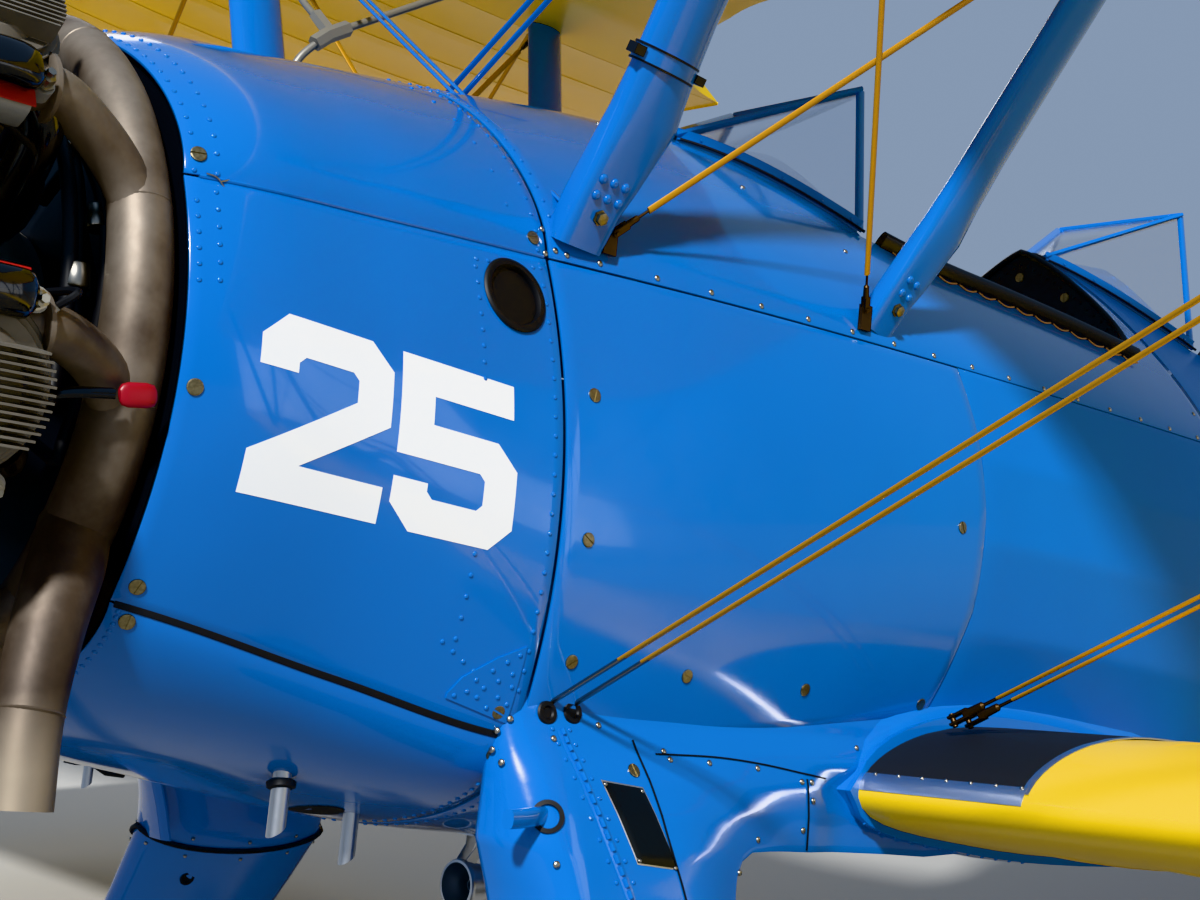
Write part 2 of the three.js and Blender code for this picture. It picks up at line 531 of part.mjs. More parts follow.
function addWheels() {
  const at = [AXLE.x, -TRACK_HALF, AXLE.z];
  addPair("tyre", ringBody(wheelProfile(WHEEL_RADIUS, 205, 141), at, [0, -1, 0], 26), RUBBER);
  const hub = ringBody([
    [-66, 27], [-66, 60], [-30, 70], [-58, 128], [-62, 139], [62, 139], [58, 128], [34, 70], [70, 58], [84, 27],
  ], at, [0, -1, 0], 20);
  addPair("wheel_hub", hub, ALUMINIUM);
}

// Radial engine: drum with seven finned cylinders, heads, rocker boxes, pushrod tubes and intake pipes.
const ENGINE = { x: -762, cylinders: 7, drum: 190, headTop: 541 };
const around = (angle, radius, x) => [x, -Math.sin(angle) * radius, Math.cos(angle) * radius];
const outward = (n) => {
  const angle = (2 * Math.PI * n) / ENGINE.cylinders;
  return [0, -Math.sin(angle), Math.cos(angle)];
};
const HEAD = [[400, 78], [402, 106], [450, 108], [492, 96], [514, 60]];
function addEngine() {
  const pieces = [turned([[-955, 120], [-945, 175], [-880, 196], [-640, 196], [-600, 170], [-569 - GAP, 150]],
    [0, 0, 0], [1, 0, 0], 21)];
  for (let n = 0; n < ENGINE.cylinders; n++) {
    const angle = (2 * Math.PI * n) / ENGINE.cylinders;
    const side = (shift) => (shift / 400);
    pieces.push(turned([[170, 92], [206, 92], [207, 80], [399, 80], ...HEAD],
      [ENGINE.x, 0, 0], outward(n), 9));
    for (const hand of [-1, 1]) {
      const box = around(angle + side(62) * hand, 488, ENGINE.x - 8);
      pieces.push(ovalBar([box[0] - 92, box[1], box[2]], [box[0] + 56, box[1], box[2]], 62, 46, 6));
      pieces.push(rod(around(angle + side(46) * hand * 1.6, 196, ENGINE.x - 112),
        around(angle + side(62) * hand, 480, ENGINE.x - 78), 12, 5));
    }
    pieces.push(rod(around(angle + 0.2, 185, ENGINE.x + 82), around(angle + 0.14, 440, ENGINE.x + 62), 24, 6));
  }
  add("engine_cylinders", join(...pieces), STEEL);
  add("engine_nose_case", turned([[-1114, 52], [-1106, 84], [-1070, 98], [-1010, 122], [-955 - GAP, 158]],
    [0, 0, 0], [1, 0, 0], 20), paint(0x5f6466, 0.5, 0.4));
  // Black diaphragm in the cowl's mouth, behind the exhaust ring.
  const lip = common(block(-541, -533, -WIDE, WIDE, -ABOVE, ABOVE), cowlSpace(GAP));
  add("engine_baffle", cut(join(lip, turned([[-569, 128], [-536, 128]], [0, 0, 0], [1, 0, 0], 20)),
    turned([[-572.5, 60], [-520, 60]], [0, 0, 0], [1, 0, 0], 12)), BLACK);
}

// Exhaust: a collector ring behind the cylinders, an elbow from each head, and one port-side tailpipe.
const COLLECTOR = { x: -612, radius: 384, tube: 50 };
function addExhaust() {
  const rings = Array.from({ length: 21 }, (_, i) => {
    const angle = (2 * Math.PI * i) / 20;
    return Array.from({ length: 8 }, (_, j) => {
      const turn = (2 * Math.PI * j) / 8;
      return around(angle, COLLECTOR.radius + Math.cos(turn) * COLLECTOR.tube, COLLECTOR.x + Math.sin(turn) * COLLECTOR.tube);
    });
  });
  const half = (from, to) => loft(rings.slice(from, to + 1));
  const pieces = [half(0, 10), half(9, 20)];
  for (let n = 0; n < ENGINE.cylinders; n++) {
    const angle = (2 * Math.PI * n) / ENGINE.cylinders - 0.16;
    const knee = around(angle - 0.06, 455, ENGINE.x + 128);
    pieces.push(rod(around(angle + 0.02, 455, ENGINE.x + 85), knee, 31, 8));
    pieces.push(rod(knee, around(angle - 0.1, COLLECTOR.radius, COLLECTOR.x), 31, 8));
  }
  pieces.push(ovalBar([-640, -318, -215], [-648, -402, -330], 100, 96, 12));
  pieces.push(ovalBar([-648, -400, -300], [-650, -404, -520], 96, 92, 12));
  const heads = Array.from({ length: ENGINE.cylinders }, (_, n) => turned(
    HEAD.map(([along, radius]) => [along, radius + GAP]), [ENGINE.x, 0, 0], outward(n), 9));
  add("exhaust_collector", cut(join(...pieces), ...heads), BRONZED_STEEL);
}

// Propeller: two twisted metal blades in a split hub.
const PROP_X = -1190;
const SHANK_RADIUS = 57;
function addPropeller() {
  const stations = [ // radius, chord, thickness, blade angle
    [70, 88, 86, 60], [190, 100, 70, 52], [330, 165, 34, 42], [640, 205, 24, 29],
    [960, 185, 16, 21], [1180, 140, 11, 17], [1270, 84, 8, 16], [PROPELLER_RADIUS, 26, 6, 16],
  ];
  const blade = loft(stations.map(([r, chord, thick, angle]) => {
    const pitch = THREE.MathUtils.degToRad(90 - angle);
    return Array.from({ length: 12 }, (_, i) => {
      const turn = (2 * Math.PI * i) / 12;
      const [c, t] = [(Math.cos(turn) * chord) / 2, (Math.sin(turn) * thick) / 2];
      return [PROP_X + c * Math.cos(pitch) - t * Math.sin(pitch), -c * Math.sin(pitch) - t * Math.cos(pitch), r];
    });
  }));
  const other = blade.clone().rotateX(Math.PI);
  const shanks = rod([PROP_X, 0, -158], [PROP_X, 0, 158], SHANK_RADIUS, 14);
  add("propeller_blades", join(blade, other, shanks), ALUMINIUM);
  const hub = turned([[-1252, 36], [-1248, 62], [-1222, 66], [-1215, 88], [-1165, 88], [-1146, 70],
    [-1140, 45], [-1114 - GAP, 45]], [0, 0, 0], [1, 0, 0], 20);
  const sleeve = rod([PROP_X, 0, -150], [PROP_X, 0, 150], 64, 14);
  const bore = rod([PROP_X, 0, -200], [PROP_X, 0, 200], SHANK_RADIUS + GAP, 14);
  add("propeller_hub", cut(join(hub, sleeve), bore), STEEL);
}

// Tail surfaces.
const ELEVATOR_HINGE = { x: 5330, z: 240 };
const RUDDER_HINGE_X = 5700;
const TAIL_HALF_SPAN = 1880;
const NOSE = 30;
// A flat symmetric surface section between two x, in a plane of constant y or z, thick at one end.
function tailRing(front, back, thick, place, roundNose) {
  const steps = 6;
  const nose = Array.from({ length: steps + 1 }, (_, i) => {
    const turn = Math.PI / 2 + (Math.PI * i) / steps;
    return [Math.cos(turn), Math.sin(turn)];
  });
  const half = thick / 2;
  const points = roundNose
    ? [...nose.map(([c, s]) => [front + c * half, s * half]), [back, -3], [back, 3]]
    : [...nose.map(([c, s]) => [front + 60 + c * 60, s * half * 0.62]), [front + (back - front) * 0.45, -half],
      [back, -half * 0.9], [back, half * 0.9], [front + (back - front) * 0.45, half]];
  return points.map(([x, side]) => place(x, side));
}
function addTail() {
  const cove = ELEVATOR_HINGE.x - NOSE - MOVING_GAP;
  // Stabiliser stations: y, leading edge, thickness.
  // The first one lies against the fuselage's side, which narrows aft.
  const against = (x) => THREE.MathUtils.mapLinear(x, 4700, 5655, 201.3, 41.5);
  const stabiliser = [[against, 4758, 84], [1000, 4905, 74], [1500, 5015, 64], [1760, 5120, 52],
    [TAIL_HALF_SPAN - 12, 5180, 48]];
  const stabiliserBody = loft(stabiliser.map(([y, lead, thick]) =>
    tailRing(lead, cove - 1, thick * 0.8, (x, s) => [x, -(y.call ? y(x) : y), ELEVATOR_HINGE.z + s], false)));
  const lug = (low, high, z) => block(cove - 20, ELEVATOR_HINGE.x - NOSE - GAP, -high, -low, z - 11, z + 11);
  const lugs = [[490, 510], [1075, 1095]].map(([low, high]) => lug(low, high, ELEVATOR_HINGE.z));
  const stabiliserWithLugs = join(stabiliserBody, ...lugs);
  addPair("stabiliser", stabiliserWithLugs, YELLOW);
  // Elevator stations: y, trailing edge, nose thickness. The inner end leaves room for the rudder.
  const elevator = [[150, 5800, 60], [320, 5860, 60], [1100, 5840, 60], [1560, 5740, 54], [1780, 5610, 44],
    [TAIL_HALF_SPAN - 6, 5460, 32]];
  const half = loft(elevator.map(([y, trail, thick]) =>
    tailRing(ELEVATOR_HINGE.x, trail, thick, (x, s) => [x, -y, ELEVATOR_HINGE.z + s], true)));
  const tube = rod([ELEVATOR_HINGE.x, -170, ELEVATOR_HINGE.z], [ELEVATOR_HINGE.x, 170, ELEVATOR_HINGE.z], 20, 12);
  add("elevators", join(half, mirrored(half), tube), YELLOW);
  // Fin stations: z, leading edge, thickness.
  const finCove = RUDDER_HINGE_X - NOSE - MOVING_GAP;
  const fin = [[250, 4900, 74], [420, 4985, 72], [760, 5170, 64], [980, 5310, 54], [1100, 5430, 44], [1158, 5560, 30]];
  const finLugs = [[500, 520], [400, 420]].map(([low, high]) =>
    block(finCove - 20, RUDDER_HINGE_X - NOSE - GAP, -11, 11, low, high));
  const finBody = loft(fin.map(([z, lead, thick]) => tailRing(lead, finCove, thick * 0.8, (x, s) => [x, s, z], false)));
  add("fin", clearOfFuselage(join(finBody, ...finLugs)), YELLOW);
  // Rudder stations: z, trailing edge, nose thickness.
  const rudder = [[-96, 5830, 30], [-60, 6010, 50], [40, 6190, 58], [240, 6330, 60], [520, 6378, 60],
    [800, 6300, 56], [1000, 6150, 48], [1120, 5960, 38], [1168, 5800, 28]];
  add("rudder", loft(rudder.map(([z, trail, thick]) =>
    tailRing(RUDDER_HINGE_X, trail, thick, (x, s) => [x, s, z], true))), YELLOW);
}

// Tail wheel: a leg under the tail, a fork that swivels with the rudder, and a small solid tyre.
const [SIN, COS] = [Math.sin(GROUND_ATTITUDE), Math.cos(GROUND_ATTITUDE)];
const GROUND = AXLE.z * COS - AXLE.x * SIN - WHEEL_RADIUS;
const TAIL_WHEEL_X = 5250;
const TAIL_WHEEL_Z = (GROUND + TAIL_WHEEL_RADIUS + TAIL_WHEEL_X * SIN) / COS;
const SWIVEL_LEAN = THREE.MathUtils.degToRad(14);
const SWIVEL_TRAIL = 70;
function addTailWheel() {
  const axis = new THREE.Vector3(-Math.sin(SWIVEL_LEAN), 0, Math.cos(SWIVEL_LEAN));
  const aft = new THREE.Vector3(Math.cos(SWIVEL_LEAN), 0, Math.sin(SWIVEL_LEAN));
  const wheel = new THREE.Vector3(TAIL_WHEEL_X, 0, TAIL_WHEEL_Z);
  const at = (up, back, y = 0) => wheel.clone().addScaledVector(axis, up).addScaledVector(aft, back - SWIVEL_TRAIL)
    .add(new THREE.Vector3(0, y, 0)).toArray();
  const crown = TAIL_WHEEL_RADIUS + 14;
  const arms = [-1, 1].map((hand) => loft([
    [at(crown, -24, hand * 50), at(crown, 60, hand * 50), at(crown, 60, hand * 62), at(crown, -24, hand * 62)],
    [at(-24, 46, hand * 50), at(-24, 94, hand * 50), at(-24, 94, hand * 62), at(-24, 46, hand * 62)],
  ]));
  const bridge = loft([crown - 4, crown + 18].map((up) =>
    [at(up, -26, -62), at(up, 62, -62), at(up, 62, 62), at(up, -26, 62)]));
  const pin = rod(at(crown + 10, 0), at(crown + 30, 0), 26, 14);
  const axle = rod(at(0, SWIVEL_TRAIL, -62), at(0, SWIVEL_TRAIL, 62), 12, 10);
  add("tail_fork", join(...arms, bridge, pin, axle), BLUE);
  const housing = rod(at(crown + 30 + GAP, 0), at(crown + 150, 0), 32, 14);
  const root = [5090, 0, -120];
  const leg = ovalBar(at(crown + 70, -4), [5000, 0, -150], 70, 44, 12);
  const brace = ovalBar(at(crown + 130, 0), [5260, 0, -90], 46, 40, 10);
  add("tail_wheel_leg", clearOfFuselage(join(housing, leg, brace)), STEEL);
  const tyre = wheelProfile(TAIL_WHEEL_RADIUS, 76, 58);
  const body = ringBody([[-30, 12.7], [-30, 30], [-18, 57.6], ...tyre, [18, 57.6], [30, 30], [30, 12.7]],
    wheel.toArray(), [0, 1, 0], 18);
  add("tail_wheel", body, RUBBER);
}

addCowl();
addFuselage();
addCockpits();
addWindshields();
addWings();
addStruts();
addFlyingWires();
addGear();
addWheels();
addEngine();
addExhaust();
addPropeller();
addTail();
addTailWheel();

// Stand the aircraft on its wheels, with the origin under the middle of its box.
const aircraft = new THREE.Group();
for (const [name, geometry, material] of parts) {
  const mesh = new THREE.Mesh(geometry, material);
  mesh.name = name;
  aircraft.add(mesh);
}
aircraft.rotation.y = GROUND_ATTITUDE;
const standing = new THREE.Group();
standing.add(aircraft);
standing.updateMatrixWorld(true);
const box = new THREE.Box3().setFromObject(standing, true);
aircraft.position.set(-(box.min.x + box.max.x) / 2, 0, -box.min.z);

export default standing;
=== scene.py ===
# A parked open-cockpit training biplane, seen past its port cowl towards the cockpits.
import json
import math

import bmesh
import bpy
import numpy as np
from mathutils import Matrix, Vector
from mathutils.geometry import delaunay_2d_cdt


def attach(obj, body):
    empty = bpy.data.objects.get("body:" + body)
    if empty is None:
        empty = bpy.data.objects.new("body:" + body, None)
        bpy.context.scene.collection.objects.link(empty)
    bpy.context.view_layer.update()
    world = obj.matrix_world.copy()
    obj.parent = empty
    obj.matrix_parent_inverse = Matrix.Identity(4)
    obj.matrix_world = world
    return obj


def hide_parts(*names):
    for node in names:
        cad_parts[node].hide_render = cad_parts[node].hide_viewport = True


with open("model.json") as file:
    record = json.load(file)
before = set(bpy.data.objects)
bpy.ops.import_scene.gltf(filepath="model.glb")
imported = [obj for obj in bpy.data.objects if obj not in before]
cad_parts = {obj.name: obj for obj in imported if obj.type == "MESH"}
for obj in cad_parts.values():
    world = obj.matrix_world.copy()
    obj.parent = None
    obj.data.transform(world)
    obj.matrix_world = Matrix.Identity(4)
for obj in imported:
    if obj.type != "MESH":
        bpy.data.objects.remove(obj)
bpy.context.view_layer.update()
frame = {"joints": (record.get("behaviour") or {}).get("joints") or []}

# Camera
# Stands low ahead of the port wheel and looks back and up along the cowl's side. STAND takes a
# point of the aircraft's own level axes (x aft from the firewall, y to starboard, z up from the
# thrust line, in metres) to where it is on the parked aircraft.
GROUND_ATTITUDE = math.radians(11)
PROPELLER_PLANE = -1.190
joints = {joint["name"]: joint for joint in frame["joints"]}
tip_back = Matrix.Rotation(GROUND_ATTITUDE, 4, "Y")
propeller_centre = Vector(joints["propeller_spin"]["pos_m"])
STAND = Matrix.Translation(propeller_centre - tip_back @ Vector((PROPELLER_PLANE, 0, 0))) @ tip_back

looks_ahead = Vector((0.67655, 0.72721, 0.11600))
looks_right = Vector((0.72080, -0.68620, 0.09790))
looks_up = looks_right.cross(looks_ahead).normalized()
camera_data = bpy.data.cameras.new("camera")
camera_data.sensor_width = 36
camera_data.lens = 54.7
camera_data.clip_end = 200
camera = bpy.data.objects.new("camera", camera_data)
camera_place = Matrix((looks_right, looks_up, -looks_ahead)).transposed().to_4x4()
camera_place.translation = Vector((-1.5343, -2.1669, -0.3131))
camera.matrix_world = STAND @ camera_place
bpy.context.scene.collection.objects.link(camera)
bpy.context.scene.camera = camera


# Floor and light
# A plain pale floor, a soft key light high on the port bow, two weaker lamps either side, and an
# even pale sky.
def linear(hex_colour):
    """An sRGB hex colour as the linear colour that a shader reads."""
    parts = [int(hex_colour[i:i + 2], 16) / 255 for i in (1, 3, 5)]
    return [c / 12.92 if c <= 0.04045 else ((c + 0.055) / 1.055) ** 2.4 for c in parts] + [1]


def add_node(tree, kind, settings=None, **inputs):
    """Adds a node with its settings; each input is a value or the socket that feeds it."""
    made = tree.nodes.new(kind)
    for name, value in (settings or {}).items():
        setattr(made, name, value)
    for name, value in inputs.items():
        key = int(name[1:]) if name[0] == "_" and name[1:].isdigit() else name.replace("_", " ")
        socket = made.inputs[key]
        if isinstance(value, bpy.types.NodeSocket):
            tree.links.new(value, socket)
        else:
            socket.default_value = value
    return made


def new_material(name, base="#808080", **sockets):
    """A Principled material; returns it, its tree and its shader."""
    material = bpy.data.materials.new(name)
    material.use_nodes = True
    tree = material.node_tree
    shader = next(n for n in tree.nodes if n.type == "BSDF_PRINCIPLED")
    shader.inputs["Base Color"].default_value = linear(base)
    for socket, value in sockets.items():
        shader.inputs[socket.replace("_", " ")].default_value = value
    return material, tree, shader


FLOOR_HALF = 120
CORNERS = ((-1, -1), (1, -1), (1, 1), (-1, 1))
floor_mesh = bpy.data.meshes.new("floor")
floor_mesh.from_pydata([(x * FLOOR_HALF, y * FLOOR_HALF, 0) for x, y in CORNERS], [], [(0, 1, 2, 3)])
floor = bpy.data.objects.new("floor", floor_mesh)
bpy.context.scene.collection.objects.link(floor)
floor_material, _, _ = new_material("pale_floor", "#96948f", Roughness=0.9)
floor_mesh.materials.append(floor_material)

bpy.context.scene.view_settings.view_transform = "Khronos PBR Neutral"
world = bpy.data.worlds.new("studio")
bpy.context.scene.world = world
world.use_nodes = True
sky = world.node_tree.nodes["Background"].inputs
sky["Color"].default_value = linear("#bcd2f0")
sky["Strength"].default_value = 0.55
LAMPS = [  # name, kind, place in metres, aims at, power, size in metres or angle in degrees
    ("key", "SUN", (-8.2, -6.2, 9.4), (-1.5, -0.5, 1.2), 5.1, 4.0),
    ("fill", "AREA", (2.0, -9.0, 3.0), (-0.5, 0, 1.2), 110, 5.0),
    ("far_side", "AREA", (3.0, 9.0, 6.0), (0.5, 0, 1.0), 420, 5.0),
]
for lamp_name, kind, place, aim, power, size in LAMPS:
    lamp_data = bpy.data.lights.new(lamp_name, kind)
    lamp_data.energy = power
    if kind == "SUN":
        lamp_data.angle = math.radians(size)
    else:
        lamp_data.size = size
    lamp = bpy.data.objects.new(lamp_name, lamp_data)
    lamp.location = place
    lamp.rotation_euler = (Vector(aim) - Vector(place)).to_track_quat("-Z", "Y").to_euler()
    bpy.context.scene.collection.objects.link(lamp)


# Cowl
# Sheet aluminium over the engine's accessories, in glossy blue enamel: a top, two sides hinged to
# it with piano hinges, and a bottom. Round at the engine, flatter at the firewall behind it.
MM = STAND @ Matrix.Scale(0.001, 4)
SECTION = ("x", "crown", "round", "hinge_w", "hinge_z", "mid_w", "mid_z", "low_w", "low_z",
           "bottom", "belly")
SECTIONS = np.array([  # one row per cross-section, in millimetres, with the two roundness powers
    (-546, 409, 1.66, 384, 180, 431, -22, 342, -298, -453, 1.57),
    (-520, 420, 1.66, 391, 181, 438, -24, 350, -303, -465, 1.6),
    (-270, 468, 1.6, 391, 194, 452, -66, 384, -360, -524, 1.8),
    (0, 508, 1.5, 380, 208, 459, -113, 414, -416, -566, 2),
    (300, 553, 1.4, 400, 214, 470, -105, 428, -400, -582, 2.2),
    (880, 602, 1.3, 415, 220, 476, -91, 424, -345, -586, 2.3),
    (1640, 626, 1.22, 430, 216, 474, -90, 405, -370, -586, 2.3),
    (2240, 640, 1.25, 418, 212, 450, -95, 372, -370, -574, 2.2),
    (2760, 596, 1.4, 388, 210, 414, -95, 332, -350, -545, 2.2),
    (3600, 500, 1.6, 318, 216, 338, -60, 268, -290, -440, 2.1),
    (4700, 384, 1.8, 198, 226, 212, 20, 164, -150, -236, 2),
    (5655, 292, 1.9, 40, 236, 46, 90, 34, -40, -78, 2),
])


def section_sizes(x):
    """Every column of the table at the given x, each on a smooth curve through its rows."""
    rows = SECTIONS[:, 0]
    step = np.diff(rows)
    rise = np.diff(SECTIONS, axis=0) / step[:, None]
    inner = (rise[:-1] * step[1:, None] + rise[1:] * step[:-1, None]) / (step[:-1] + step[1:])[:, None]
    slope = np.vstack([rise[:1], inner, rise[-1:]])
    low = np.clip(np.searchsorted(rows, x, side="right") - 1, 0, len(rows) - 2)
    gap = step[low]
    t = ((x - rows[low]) / gap)[..., None]
    g = gap[..., None]
    sizes = ((1 + 2 * t) * (1 - t) ** 2 * SECTIONS[low] + t * (1 - t) ** 2 * g * slope[low]
             + t * t * (3 - 2 * t) * SECTIONS[low + 1] - t * t * (1 - t) * g * slope[low + 1])
    return dict(zip(SECTION, np.moveaxis(sizes, -1, 0)))


def skin(x, round_about):
    """Points of the fuselage skin. round_about runs 0 to 1 from the starboard hinge line over the
    crown to the port one, to 2 at the port lower edge, to 3 at the starboard one, and back at 4."""
    x, turn = np.broadcast_arrays(np.asarray(x, float), np.asarray(round_about, float) % 4)
    s = section_sizes(x)
    zone = np.minimum(turn.astype(int), 3)
    t = turn - zone
    arc = t * np.pi
    power = 2 / np.where(zone == 2, s["belly"], s["round"])
    across = np.sign(np.cos(arc)) * np.abs(np.cos(arc)) ** power
    up = np.abs(np.sin(arc)) ** power
    height = s["hinge_z"] + (s["low_z"] - s["hinge_z"]) * np.where(zone == 3, 1 - t, t)
    a, b, c = s["hinge_z"], s["mid_z"], s["low_z"]
    width = (s["hinge_w"] * (height - b) * (height - c) / ((a - b) * (a - c))
             + s["mid_w"] * (height - a) * (height - c) / ((b - a) * (b - c))
             + s["low_w"] * (height - a) * (height - b) / ((c - a) * (c - b)))
    y = np.select([zone == 0, zone == 1, zone == 2],
                  [across * s["hinge_w"], -width, -across * s["low_w"]], width)
    z = np.select([zone == 0, zone == 2], [a + up * (s["crown"] - a), c + up * (s["bottom"] - c)], height)
    return np.stack([x, y, z], -1)


def skin_facing(x, round_about):
    """Outward unit normals of the skin."""
    x, turn = np.broadcast_arrays(np.asarray(x, float), np.asarray(round_about, float))
    back, fore = (skin(np.clip(x + step, SECTIONS[0, 0], SECTIONS[-1, 0]), turn) for step in (2, -2))
    zone = np.floor(turn)
    far = skin(x, np.clip(turn + 0.004, zone, zone + 0.9999))
    near = skin(x, np.clip(turn - 0.004, zone, zone + 0.9999))
    facing = np.cross(back - fore, far - near)
    facing /= np.maximum(np.linalg.norm(facing, axis=-1, keepdims=True), 1e-9)
    outward = skin(x, turn) * (0, 1, 1) - np.array((0, 0, -40))
    flip = np.sign(np.sum(facing * outward, -1, keepdims=True))
    return facing * np.where(flip == 0, 1, flip)


def on_skin(x, z, side=-1):
    """Where the port (-1) or starboard (1) skin has this height: its round_about value."""
    turns = np.linspace(0.5, 2.5, 1601)
    heights = skin(x, turns)[:, 2]
    turn = float(np.interp(-z, -heights, turns))
    return turn if side < 0 else (1 - turn) % 4 if turn < 1 else (5 - turn) % 4


def make_object(name, verts, faces, material, smooth_below=38):
    """A mesh object from points in level millimetres, smooth except at edges sharper than given."""
    mesh = bpy.data.meshes.new(name)
    mesh.from_pydata(np.asarray(verts, float).reshape(-1, 3).tolist(), [], faces)
    mesh.transform(MM)
    shape = bmesh.new()
    shape.from_mesh(mesh)
    bmesh.ops.remove_doubles(shape, verts=shape.verts, dist=2e-6)
    bmesh.ops.dissolve_degenerate(shape, dist=1e-6, edges=shape.edges)
    bmesh.ops.recalc_face_normals(shape, faces=shape.faces)
    for face in shape.faces:
        face.smooth = True
    for edge in shape.edges:
        edge.smooth = len(edge.link_faces) == 2 and edge.calc_face_angle(0) < math.radians(smooth_below)
    shape.to_mesh(mesh)
    shape.free()
    obj = bpy.data.objects.new(name, mesh)
    bpy.context.scene.collection.objects.link(obj)
    mesh.materials.append(material)
    return obj


def fit(obj, slot, *stands_for, body="airframe"):
    """Fixes a finished piece to its body and hides the nodes it shows; slot is not used."""
    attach(obj, body)
    if stands_for:
        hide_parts(*stands_for)
    return obj


def piece(name, shape, material, slot, *stands_for, body="airframe", smooth_below=38):
    """Makes a (points, faces) shape into an object and fixes it."""
    made = make_object(name, *shape, material, smooth_below)
    return fit(made, slot, *stands_for, body=body)


def grid_faces(rows, columns, start=0, wrap=False, closed=False):
    """Quads between neighbouring rows of a grid of points; wrap joins each row's ends, closed the
    last row to the first."""
    faces = []
    for i in range(rows if closed else rows - 1):
        row, after = start + i * columns, start + (i + 1) % rows * columns
        for j in range(columns if wrap else columns - 1):
            k = (j + 1) % columns
            faces.append((row + j, row + k, after + k, after + j))
    return faces


def sheet_shell(outer, facing, thickness):
    """A closed sheet of metal from a grid of points and its normals, with its edges rolled under."""
    outer = outer.copy()
    outer[[0, -1]] -= facing[[0, -1]] * 0.9
    outer[1:-1, [0, -1]] -= facing[1:-1, [0, -1]] * 0.9
    rows, columns = outer.shape[:2]
    inner = outer - facing * thickness
    verts = np.concatenate([outer.reshape(-1, 3), inner.reshape(-1, 3)])
    shift = rows * columns
    faces = grid_faces(rows, columns) + grid_faces(rows, columns, shift)
    border = (list(range(columns)) + [i * columns + columns - 1 for i in range(1, rows)]
              + [(rows - 1) * columns + j for j in range(columns - 2, -1, -1)]
              + [i * columns for i in range(rows - 2, 0, -1)])
    for a, b in zip(border, border[1:] + border[:1]):
        faces.append((a, b, b + shift, a + shift))
    return verts, faces


def edged(start, end, count, lip):
    """Even steps from start to end with one more just inside each end, where the edge rolls under."""
    return np.concatenate([[start, start + lip], np.linspace(start, end, count)[1:-1], [end - lip, end]])


EDGE_TURN = 0.0022  # how much of round_about one millimetre takes, near enough for a seam


def skin_sheet(front, back, turns, steps, relief=None, seam=1.4, lip=None):
    """A sheet that follows the skin, a seam's width short of its neighbours. Its front and back
    edges are each an x or a function of round_about, and relief sinks its face."""
    around = edged(turns[0] + seam * EDGE_TURN, turns[1] - seam * EDGE_TURN, steps[1], 0.0026)
    start, end = (edge(around) if callable(edge) else np.full(around.shape, float(edge))
                  for edge in (front, back))
    start, length = start + seam, end - start - 2 * seam
    share = edged(0, 1, steps[0], 1.2 / np.max(length) if lip is None else lip)
    grid_x = start + length * share[:, None]
    grid_turn = np.broadcast_to(around, grid_x.shape)
    facing = skin_facing(grid_x, grid_turn)
    points = skin(grid_x, grid_turn)
    if relief is not None:
        points = points - facing * relief(grid_x, grid_turn)[..., None]
    return sheet_shell(points, facing, 2.6)


def textured(name, base="#808080", **sockets):
    """A Principled material with its tree, shader and the piece's own place for patterns."""
    made, tree, shader = new_material(name, base, **sockets)
    return made, tree, shader, add_node(tree, "ShaderNodeTexCoord").outputs["Object"]


def drifting_colour(tree, shader, where, first, second, **cloud):
    """Lets clouds of the given scale and detail drift the base colour between two colours."""
    drift = add_node(tree, "ShaderNodeTexNoise", Vector=where, **cloud)
    tint = add_node(tree, "ShaderNodeMix", {"data_type": "RGBA"}, Factor=drift.outputs["Fac"],
                    _6=linear(first), _7=linear(second))
    tree.links.new(tint.outputs[2], shader.inputs["Base Color"])


def raised_grain(tree, shader, where, strength, depth, under=None, **cloud):
    """Raises a cloudy grain on the surface, with its depth in metres, over another bump if given."""
    grain = add_node(tree, "ShaderNodeTexNoise", Vector=where, **cloud)
    bump = add_node(tree, "ShaderNodeBump", Height=grain.outputs["Fac"], Strength=strength, Distance=depth)
    if under:
        tree.links.new(under.outputs["Normal"], bump.inputs["Normal"])
    tree.links.new(bump.outputs["Normal"], shader.inputs["Normal"])


def enamel(name, base, shade):
    """Glossy blue enamel on sheet metal: deep, wet-looking, with a faint orange peel."""
    made, tree, shader, where = textured(name, base, Roughness=0.16, Coat_Weight=0.7, Coat_Roughness=0.05,
                                         Specular_IOR_Level=0.45)
    drifting_colour(tree, shader, where, base, shade, Scale=2.2, Detail=3.0)
    grime = add_node(tree, "ShaderNodeTexNoise", Vector=where, Scale=14.0, Detail=6.0, Roughness=0.7)
    gloss = add_node(tree, "ShaderNodeMapRange", Value=grime.outputs["Fac"], _1=0.35, _2=0.75, _3=0.1,
                     _4=0.26)
    tree.links.new(gloss.outputs["Result"], shader.inputs["Roughness"])
    panting = add_node(tree, "ShaderNodeTexNoise", Vector=where, Scale=5.5, Detail=1.0)
    slow = add_node(tree, "ShaderNodeBump", Height=panting.outputs["Fac"], Strength=0.25, Distance=0.006)
    raised_grain(tree, shader, where, 0.02, 0.0006, under=slow, Scale=420.0, Detail=1.0)
    return made


BLUE = "#086cc0"
BLUE_SHADE = "#0660b2"
blue_enamel = enamel("blue_enamel_on_aluminium", BLUE, BLUE_SHADE)
FRONT = -546
PORT_SIDE = (1, 2)
STARBOARD_SIDE = (3, 4)
for name, turns, steps, node in (
        ("cowl_top_sheet", (0, 1), 72, "cowl_top"), ("cowl_side_sheet_port", PORT_SIDE, 44, "cowl_side_left"),
        ("cowl_side_sheet_starboard", STARBOARD_SIDE, 44, "cowl_side_right"),
        ("cowl_bottom_sheet", (2, 3), 60, "cowl_bottom")):
    piece(name, skin_sheet(FRONT, -2, turns, (36, steps)), blue_enamel, "blue_enamel", node)


